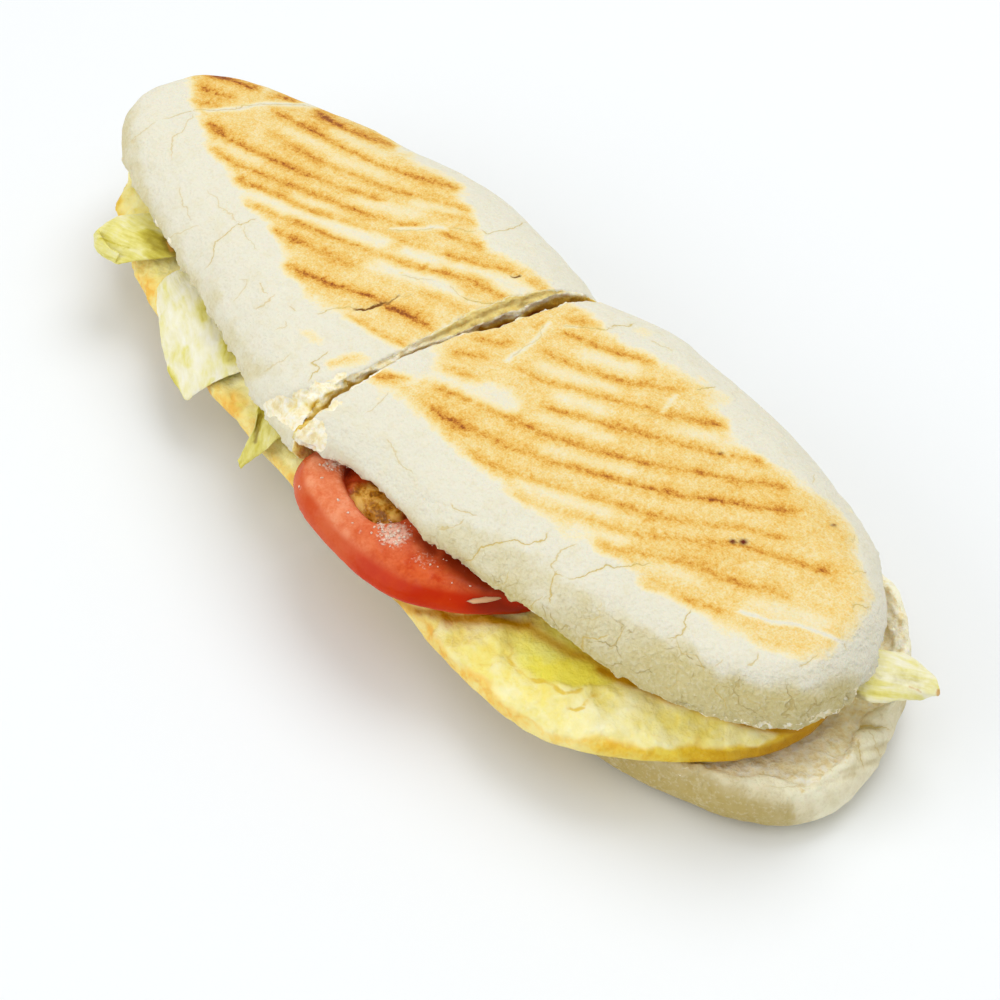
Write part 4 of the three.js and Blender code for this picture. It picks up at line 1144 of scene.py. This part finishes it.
# %% Omelette finish
def omelette_finish():
    made = open_material("moist_omelette")
    curds, fine, wide = grain(4.5, 4.0, swirl=0.4), grain(1.0, 3.0), grain(14, 3.0)
    face = ramp(curds * 0.5 + wide * 0.5 + fine * 0.2 + 0.5, (0.3, (248, 226, 104)),
                (0.42, (250, 234, 136)), (0.54, (252, 240, 170)), (0.7, (254, 247, 202)))
    fold = ramp(wide + curds * 0.4 + fine * 0.3 + 0.5, (0.36, (247, 233, 74)), (0.6, (253, 246, 126)))
    deep_skin = ramp(wide * 0.5 + fine * 0.35 + curds * 0.7 + 0.5, (0.36, (226, 178, 14)),
                     (0.5, (236, 196, 38)), (0.66, (244, 218, 84)))
    light_skin = ramp(curds + wide * 0.4 + fine * 0.3 + 0.5, (0.36, (244, 190, 76)),
                      (0.48, (248, 212, 108)), (0.64, (250, 230, 146)))
    skin_here = eased((marked("skin") + curds * 0.7 + fine * 0.3).held(), 0.25, 0.8)
    split = eased(marked("split") + fine * 0.4 + curds * 0.3, 0.2, 0.75)
    colour = blend(marked("fold") * 0.85, face, fold)
    colour = blend(skin_here, colour, blend(marked("lightly_set"), deep_skin, light_skin))
    colour = blend(split * 0.8, colour, (234, 198, 44))
    colour = blend((marked("shade") * (1.0 + curds * 1.0)).held(), colour, (196, 142, 2))
    height = curds * 0.8 + fine * 0.4 + 0.5
    return surface(made, colour, 0.46 + fine * 0.35, bumped(height, 0.7), Subsurface_Weight=0.18,
                   Subsurface_Radius=(0.002, 0.0015, 0.0006), Specular_IOR_Level=0.25)


egg = omelette_finish()

# %% The two pieces of omelette
SPLITS_NEAR = [
    (0.8, 0.7, [(77, -42), (80, -43.6), (84.8, -45), (87, -45), (89.3, -43.9)]),
    (1.0, 0.7, [(87, -45), (89.3, -43.9), (91.1, -42.7), (93.8, -41.5), (96.2, -39.9), (97, -38)]),
    (0.9, 0.6, [(97.6, -44), (99, -42), (99.4, -40.4), (99.1, -38.2)]),
    (0.7, 0.6, [(99, -39), (98.4, -36.6), (98, -35)]), (0.5, 0.5, [(102, -37), (104, -35)]),
    (0.5, 0.5, [(105.6, -36), (107.4, -34)]), (0.4, 0.5, [(101, -34), (102.6, -32.6)]),
    (0.5, 0.6, [(112, -35), (114, -33.6)]), (0.5, 0.5, [(78, -52), (81, -50), (82, -47.6)]),
]
# Where the egg lies in deep shade: against the tomato and under the bread
SHADED_NEAR = [
    (0.8, 1.1, [(46, -59), (50, -57.5), (56.4, -54.3), (62.3, -51.4), (67, -47.6)]),
    (1.1, 1.6, [(62, -51), (67, -47.4), (72.4, -41.7), (79.3, -34.9)]),
    (0.8, 1.3, [(76, -37), (84, -35.2), (90, -32.8), (96, -30.6), (102, -28.6)]),
    (1.1, 1.2, [(92, -33), (98, -30.6), (104, -28), (110, -25.4), (118, -20.4), (126, -15), (131.7, -8)]),
]
FOLD_NEAR = [
    (60, -36), (74, -39), (80, -42.8), (85, -44.6), (90, -43), (95.6, -39.4), (97, -35), (99, -30),
    (86, -26), (60, -30),
]


def omelette(node, name, splits, fold, shaded, skin_up, skin_rise, seed):
    """One piece of egg. Its skin reaches skin_up millimetres high, and skin_rise more at the end."""
    piece = start_from(node, name)
    fine_skin(piece, 0.7 * MM, 10)
    places, normals = places_of(piece), normals_of(piece)
    glass, along = on_glass(places), in_plan(places)[:, 0]
    split = drawn(shaken(shaken(glass, places, 2.5, 0.9, seed), places, 1.1, 0.5, seed + 8), splits)
    split *= 0.6 + 0.4 * ease(-0.5, 0.5, crags(places, 1.8, seed + 2))
    folded = np.zeros(len(places))
    if fold:
        within = inside(glass, fold) + 0.6 * lumps(places, 3, seed + 3)
        folded = ease(-0.7, 1.2, within) * ease(72, 84, glass[:, 0])
    face = ease(-0.3, 0.3, normals[:, 2])
    relief(piece, "CLOUDS", 9, 1.2)
    relief(piece, "CLOUDS", 3.4, 0.9, face * (1 - 0.7 * folded))
    push(piece, -0.7 * folded - 0.5 * split + face * (1 - 0.6 * folded) * 0.7 * crags(places, 4.5, seed + 4))
    skin_top = skin_up + skin_rise * ease(84, 98, along)
    low = ease(skin_top + 2.4, skin_top - 1.6, places[:, 2] / MM + 1.5 * crags(places, 7, seed, 3))
    end_in_shade = ease(106, 116, along + 3 * lumps(places, 4, seed + 7)) * ease(0.8, 0.2, normals[:, 2])
    mark(piece, "skin", np.maximum(low, ease(-0.2, -0.6, normals[:, 2])))
    mark(piece, "lightly_set", ease(103, 92, np.abs(along) + 4 * lumps(places, 9, seed + 6)))
    mark(piece, "fold", folded)
    mark(piece, "split", split)
    mark(piece, "shade", np.maximum(end_in_shade, drawn(shaken(glass, places, 4, 0.5, seed + 5), shaded)))
    dress(piece, node, egg)


omelette("omelette_far", "omelette_far_half", [], None, [], 17.6, 0, 91)
omelette("omelette_near", "omelette_near_half", SPLITS_NEAR, FOLD_NEAR, SHADED_NEAR, 17.4, 2.4, 92)

# %% [markdown]
# ## The tomato
# One thick slice with red skin round a ring of paler flesh and an open seed chamber. Skin
# and flesh are wet, so they are glossy, and the flesh lets some light in. The slice could
# be cut into three materials, but one that reads marks lets skin and flesh run into each
# other softly, as they do in the fruit.

# %% Tomato finish
def tomato_finish():
    made = open_material("wet_tomato")
    fibres, fine, wide = grain(3.0, 4.0, swirl=0.3), grain(0.6, 2.0), grain(9, 3.0)
    # Painted light and shade: towards the left end skin and flesh are paler, and to the right, under the
    # bread, deeper red.
    skin, shade_to_right = marked("skin"), marked("shade_to_right")
    pale_flesh = ramp(fibres * 0.5 + wide * 0.5 + fine * 0.25 + 0.5, (0.36, (216, 104, 60)),
                      (0.5, (226, 127, 83)), (0.64, (236, 154, 114)))
    deep_flesh = ramp(fibres * 0.7 + fine * 0.3 + 0.5, (0.36, (194, 62, 20)), (0.6, (216, 96, 46)))
    # Painted shade: the flesh round the seed chamber is deeper red.
    flesh = blend(marked("shaded_chamber_wall"), blend(shade_to_right, pale_flesh, deep_flesh), (188, 54, 12))
    pale_peel = ramp(wide + fine * 0.3 + 0.5, (0.4, (204, 78, 34)), (0.62, (212, 100, 56)))
    deep_peel = ramp(wide + fine * 0.2 + 0.5, (0.4, (194, 42, 0)), (0.62, (202, 56, 0)))
    skin_here = eased(skin + fibres * 0.25 + fine * 0.2, 0.1, 0.9)
    frosted = eased(marked("frost") + grain(0.7, 3.0) * 1.4 + fine * 1.2, 0.42, 0.95)
    colour = blend(skin_here, flesh, blend(shade_to_right, pale_peel, deep_peel))
    colour = blend((marked("shade") * (1.0 + fibres * 0.8)).held() * 0.9, colour, (132, 34, 4))
    colour = blend(frosted * 0.62, colour, (244, 206, 186))
    height = (fibres * 0.5 + fine * 0.3) * (1 - skin) + frosted * 0.4 + wide * 0.1 + 0.5
    return surface(made, colour, 0.2 + fine * 0.3 + frosted * 0.3, bumped(height, 0.35),
                   Subsurface_Weight=0.12, Subsurface_Radius=(0.003, 0.0008, 0.0004), Specular_IOR_Level=0.12)


wet_tomato = tomato_finish()

# %% The slice
SLICE_TOP = 31.4
CHAMBER = [
    (12.6, -34.5), (15.6, -37.6), (21, -39.2), (26, -39.8), (30, -39), (32, -35.6), (31, -30), (27, -26),
    (20, -25), (14, -28.5),
]
# Where the cut flesh is rough and light, and where it is darker in the shade of the bread
FROST = [
    (0.9, 4.4, (43, -43.6)), (0.7, 3.0, (39, -43)), (0.8, 2.4, (19.6, -42.6)), (0.5, 2.2, (23, -42)),
    (0.5, 1.4, (14, -47)), (0.45, 3.5, (52, -43)), (0.55, 0.8, (28.5, -47.3)), (0.55, 0.8, (32.6, -47.7)),
    (0.55, 0.8, (38.3, -48.8)), (0.5, 0.8, (25, -54.2)), (0.5, 0.8, (20.8, -51.6)),
]
DARK_FLESH = [
    (0.9, 1.5, [(44, -39), (49, -40.4), (54, -39.8)]),
    (1.1, 2.6, [(50, -38), (58, -38.6), (64, -37.6), (72, -33)]),
    (1.0, 3.0, [(64, -42.6), (70, -39.6), (76, -35), (81, -31)]),
    (0.6, 1.2, [(20, -40.6), (24.3, -42.4), (28, -41.6)]),
    (0.5, 0.8, [(13, -44.5), (18, -42), (22, -40.6)]),
]


def slice_of_tomato(node, name):
    piece = start_from(node, name)
    fine_skin(piece, 0.5 * MM, 5)
    places, normals = places_of(piece), normals_of(piece)
    plan, glass = in_plan(places), on_glass(places)
    into_chamber = inside(plan, CHAMBER) + 0.3 * lumps(places, 2, 31)
    sag = 0.008 * np.maximum(0, -38 - plan[:, 1]) ** 2
    below_top = SLICE_TOP - sag - places[:, 2] / MM
    on_side = ease(0.0, 2.2, below_top + 0.35 * lumps(places, 7, 32)) * ease(-1.6, -3.0, into_chamber)
    mark(piece, "skin", on_side)
    mark(piece, "shade", drawn(shaken(glass, places, 3, 0.8, 35), DARK_FLESH))
    # Painted shade: darker red flesh round the seed chamber.
    mark(piece, "shaded_chamber_wall", ease(-1.0, 0.2, into_chamber))
    # Painted light and shade: paler to the left, deeper red to the right under the bread.
    mark(piece, "shade_to_right", ease(26, 58, glass[:, 0] + 5 * lumps(places, 8, 34)))
    mark(piece, "frost", dotted(glass, FROST) * ease(0.2, 0.6, normals[:, 2]))
    relief(piece, "CLOUDS", 7, 0.5)
    push(piece, (1 - on_side) * 0.12 * crags(places, 2.4, 33))
    dress(piece, node, wet_tomato)


slice_of_tomato("tomato_slice", "tomato_slice_cut")

# %% [markdown]
# ## The seeds
# The open chamber of the slice still holds some of its jelly, olive brown and wet, with a
# few pale seeds. A sphere flattened into the chamber and roughened is the jelly, and each
# seed is a small sphere drawn out to a drop. They're one piece.

# %% Jelly finish
def jelly_finish():
    made = open_material("tomato_jelly")
    clots, fine = grain(2.2, 3.0), grain(0.7, 2.0)
    colour = ramp(clots + fine * 0.3 + 0.5, (0.36, (150, 92, 8)), (0.46, (204, 138, 34)),
                  (0.6, (238, 188, 90)))
    colour = blend(marked("seed") * 0.8, colour, (244, 212, 124))
    # Painted shade: the left side takes the dark red of tomato flesh in the bread's shade, partly flesh
    # colour and partly painted shade.
    colour = blend(marked("shaded_flesh_side"), colour, (190, 66, 24))
    return surface(made, colour, 0.2 + fine * 0.3, bumped(clots * 0.6 + fine * 0.4 + 0.5, 0.4),
                   Subsurface_Weight=0.2, Subsurface_Radius=(0.002, 0.001, 0.0004), Specular_IOR_Level=0.3)


# %% Jelly and seeds
dice = np.random.default_rng(7)
ANY_TURN = 6.3
SEED_COUNT, SEED_SIZES = 5, (1.4, 0.9, 0.5)


def drop_at(middle, sizes, turn, segments=20):
    """A sphere with those three half sizes in millimetres, pinched to a drop and set in place."""
    bpy.ops.object.select_all(action="DESELECT")
    bpy.ops.mesh.primitive_uv_sphere_add(segments=segments, ring_count=segments // 2, radius=1)
    drop = bpy.context.object
    spots = places_of(drop)
    spots[:, 1] *= 1 - 0.3 * spots[:, 0]
    spots *= np.array(sizes) * MM
    spots = spots @ np.array([[cos(turn), sin(turn), 0], [-sin(turn), cos(turn), 0], [0, 0, 1]])
    put(drop, spots + np.array([*(KNIFE_SPOT + middle[:2]), middle[2]]) * MM)
    return drop


jelly = drop_at((22, -33.6, 28.3), (10, 6.8, 2.4), -0.2, 40)
work(jelly, "SUBSURF", levels=1, render_levels=1)
relief(jelly, "CLOUDS", 4, 2.4)
jelly_places = places_of(jelly)
# Painted shade: towards the left the jelly is coloured as flesh in shade.
mark(jelly, "shaded_flesh_side", ease(30.5, 27, on_glass(jelly_places)[:, 0] + 2 * lumps(jelly_places, 3, 36)))
mark(jelly, "seed", 0)
seeds = []
for _ in range(SEED_COUNT):
    middle = (16 + 12 * dice.random(), -38 + 4 * dice.random(), 29.1 + 0.6 * dice.random())
    seeds.append(drop_at(middle, SEED_SIZES, ANY_TURN * dice.random()))
    mark(seeds[-1], "seed", 1)
finish(joined([jelly, *seeds], "jelly_and_seeds"), jelly_finish())

# %% [markdown]
# ## The lettuce
# The inner leaves of a lettuce are nearly white at the ribs and lime green between them,
# with fine veins that run along the ribs. Even noise would look like marble. So each leaf
# keeps two numbers, how far a spot is from its middle rib and how far along the leaf it
# lies, and the veins are noise drawn out along the rib in these two numbers.

# %% Lettuce finish
def lettuce_finish():
    made = open_material("pale_lettuce")
    soft, fine = grain(5, 3.0), grain(1.0, 3.0)
    beside_rib = Flow.node("CombineXYZ", {"X": marked("across") * 0.001, "Y": marked("along") * 0.0002})
    veins, thin_veins = grain(2.2, 3.0, place=beside_rib), grain(0.7, 2.0, place=beside_rib)
    green = (marked("lime") + veins * 0.8 + soft * 0.6 + thin_veins * 0.35 + fine * 0.15).held()
    colour = ramp(green, (0.0, (246, 243, 226)), (0.25, (240, 235, 200)), (0.5, (230, 222, 138)),
                  (0.75, (210, 198, 80)), (1.0, (180, 162, 40)))
    colour = blend(eased(marked("shade") + fine * 0.3 + soft * 0.3, 0.15, 0.9) * 0.85, colour, (136, 110, 18))
    colour = blend(eased(marked("browned") + fine * 0.5, 0.3, 0.8) * 0.8, colour, (206, 150, 58))
    height = soft * 0.4 + fine * 0.25 + veins * 0.8 + thin_veins * 0.3 + 0.5
    return surface(made, colour, 0.36 + fine * 0.3, bumped(height, 0.5), Subsurface_Weight=0.25,
                   Subsurface_Radius=(0.0015, 0.0016, 0.0006), Specular_IOR_Level=0.3)


leaf_green = lettuce_finish()

# %% The leaves
# For each leaf: its middle rib, how green it is at least, and strokes of more green, of
# shade in folds and of dried brown edge
LEAVES = {
    "leaf_curled": {
        "rib": [(-76, -44), (-69, -41), (-62, -38.6), (-50, -34)], "green": 0.52,
        "lime": [
            (0.95, 3.4, [(-70, -36), (-64, -35.6), (-57, -34.6), (-50, -33.6)]),
            (0.85, 0.5, [(-69.6, -44.9), (-65.6, -42.6), (-61.5, -40.5)]),
            (0.65, 0.7, [(-74, -45.6), (-70, -48), (-65, -48), (-60, -44.6)]),
            (0.8, 1.8, [(-62, -40), (-56, -38), (-50, -35.4)]),
        ],
        "shade": [
            (1.0, 1.7, [(-63, -31.4), (-58.2, -33), (-53, -33.6), (-48, -34.4)]),
            (0.9, 0.6, [(-56.2, -39.6), (-52.4, -36.8), (-49.1, -34.6)]),
            (0.45, 1.8, [(-65, -36.4), (-60, -36), (-55, -35.6)]),
        ],
        "browned": [(0.9, 0.7, [(-60, -32.4), (-57, -33.4), (-55, -34)])],
    },
    "leaf_broad": {
        "rib": [(-52, -38.5), (-40, -41.5), (-28, -47), (-14, -56)], "green": 0.26,
        "lime": [
            (0.52, 2.6, [(-42, -36), (-39.4, -36.8), (-36, -39), (-33.9, -40.4), (-30.5, -43.4)]),
            (0.68, 2.4, [(-28, -38), (-25, -40), (-19.5, -41.5), (-15.8, -45.4)]),
            (0.46, 1.4, [(-30, -46.4), (-27.9, -48.3), (-24, -50), (-20.4, -51.9)]),
            (0.75, 1.2, [(-26, -53), (-23.5, -54.9), (-16.8, -57.3), (-11.7, -57.3)]),
            (0.6, 1.0, [(-17.6, -47.6), (-16.3, -48.7), (-13.6, -51.9), (-12, -55)]),
        ],
        "shade": [
            (0.4, 1.2, [(-26, -38.6), (-21, -40.6), (-16.6, -43.6)]),
            (0.3, 0.5, [(-16, -57.4), (-12, -57.6)]),
        ],
    },
    "leaf_twisted": {
        "rib": [(-6, -42), (-1, -46), (4, -51), (8, -54)], "green": 0.62,
        "lime": [(0.9, 1.4, [(-4, -44), (0, -47), (4, -51)])],
        "shade": [
            (0.8, 0.7, [(-2.1, -45.8), (-0.2, -47.7), (2.7, -50.6), (5.5, -52.7)]),
            (0.9, 1.2, [(-4, -42), (0, -43.4), (4, -45)]),
        ],
    },
    "leaf_end": {
        "rib": [(124, 6), (128, 9.4), (132, 13), (138, 16)], "green": 0.34,
        "lime": [
            (0.55, 1.3, [(128, 3), (131, 6), (135, 10), (138, 13)]),
            (0.5, 1.0, [(122, 12), (127, 15), (132, 17)]),
        ],
        "shade": [
            (0.75, 1.4, [(126, 2), (129, 1.6), (132, 3.4)]),
            (0.35, 0.6, [(124, 7.6), (126, 8.6), (129, 9)]),
            (0.38, 3.2, [(126, 8), (132, 12.6), (138, 15)]),
        ],
        "browned": [
            (0.9, 0.7, [(136, 15.4), (138.4, 14.6), (140, 13.6)]),
            (0.7, 0.5, [(122.6, 8), (124, 9.4), (125, 11)]),
            (0.6, 0.5, [(132, 11), (134.4, 12), (136, 12.4)]),
        ],
    },
}


def leaf(node, name, seed):
    piece = start_from(node, name)
    drawing = LEAVES[name]
    work(piece, "SUBSURF", levels=3, render_levels=3)
    bpy.ops.object.shade_smooth()
    places = places_of(piece)
    glass = shaken(on_glass(places), places, 5, 0.5, seed)
    gap, side, along = gap_to(glass, soft_line(drawing["rib"]))
    mark(piece, "across", gap * side)
    mark(piece, "along", along * length_of(drawing["rib"]))
    mark(piece, "lime", np.maximum(drawing["green"], drawn(glass, drawing["lime"])))
    mark(piece, "shade", drawn(glass, drawing["shade"]))
    mark(piece, "browned", drawn(glass, drawing.get("browned", [])))
    relief(piece, "CLOUDS", 5, 0.9)
    dress(piece, node, leaf_green)


leaf("lettuce_curled", "leaf_curled", 101)
leaf("lettuce_broad", "leaf_broad", 102)
leaf("lettuce_twisted", "leaf_twisted", 103)
leaf("lettuce_end", "leaf_end", 104)

# %% [markdown]
# ## Crumbs and a sliver
# When the loaf was cut, crumbs fell on the wet tomato and the egg, and a pale sliver of
# flesh lies at the edge of the slice. Each is dropped where the line of sight through a
# spot on the glass meets the food, so none of them floats. All of them are one piece.

# %% Crumb finish
def crumb_finish():
    made = open_material("bread_crumbs")
    colour = ramp(grain(1.2, 2.0) + 0.5, (0.35, (236, 190, 164)), (0.6, (246, 224, 204)))
    colour = blend(marked("sliver"), colour, (218, 172, 130))
    return surface(made, colour, grain(1.0) * 0.4 + 0.55, bumped(grain(0.5) + 0.5, 0.15),
                   Subsurface_Weight=0.3, Subsurface_Radius=(0.001, 0.0007, 0.0005), Specular_IOR_Level=0.25)


# %% Crumbs and a sliver
CRUMB_SHAPE, CRUMB_ROUGH, CRUMB_SEGMENTS = np.array([1.3, 0.8, 0.6]), 0.6, 8
SLIVER_SPOT, SLIVER_SIZES, SLIVER_TURN, SLIVER_ROUGH = (67.6, -39.3), (3.8, 0.8, 0.25), 1.06, 0.7


def under_glass(spot):
    """Where the line of sight through a spot on the glass meets the food."""
    through = Vector((*((np.array(spot) + KNIFE_SPOT) * MM), GLASS_UP))
    sight = (through - eye).normalized()
    _, landed, *_ = bpy.context.scene.ray_cast(bpy.context.evaluated_depsgraph_get(), eye, sight)
    return landed


def crumb_at(spot, sizes, turn, rough):
    """A rough drop that lies on the food under that spot of the glass."""
    landed = np.array(under_glass(spot)) / MM
    crumb = drop_at((*(landed[:2] - KNIFE_SPOT), landed[2] + 0.3 * sizes[2]), sizes, turn, CRUMB_SEGMENTS)
    push(crumb, rough * min(sizes) * dice.uniform(-1, 1, len(crumb.data.vertices)))
    return crumb


def scattered(middle, spread, count):
    return [(middle[0] + spread * dice.normal(), middle[1] + spread * dice.normal()) for _ in range(count)]


FINE_SPOTS = scattered((42.8, -43.6), 1.7, 70) + scattered((40, -44.6), 0.9, 14)
FINE_SPOTS += scattered((53, -41.5), 2.2, 5)
COARSE_SPOTS = scattered((20, -42.4), 1.1, 16) + [
    (20.8, -51.6), (21.5, -46.5), (28.5, -47.3), (32.6, -47.7), (35.4, -48.6), (60.2, -42.1), (63, -39.7)]
crumbs = [crumb_at(spot, dice.uniform(*halves) * CRUMB_SHAPE, ANY_TURN * dice.random(), CRUMB_ROUGH)
          for spots, halves in ((FINE_SPOTS, (0.12, 0.3)), (COARSE_SPOTS, (0.15, 0.34))) for spot in spots]
sliver = crumb_at(SLIVER_SPOT, SLIVER_SIZES, SLIVER_TURN, SLIVER_ROUGH)
for crumb in crumbs:
    mark(crumb, "sliver", 0)
mark(sliver, "sliver", 1)
finish(joined([*crumbs, sliver], "crumbs_and_slivers"), crumb_finish())
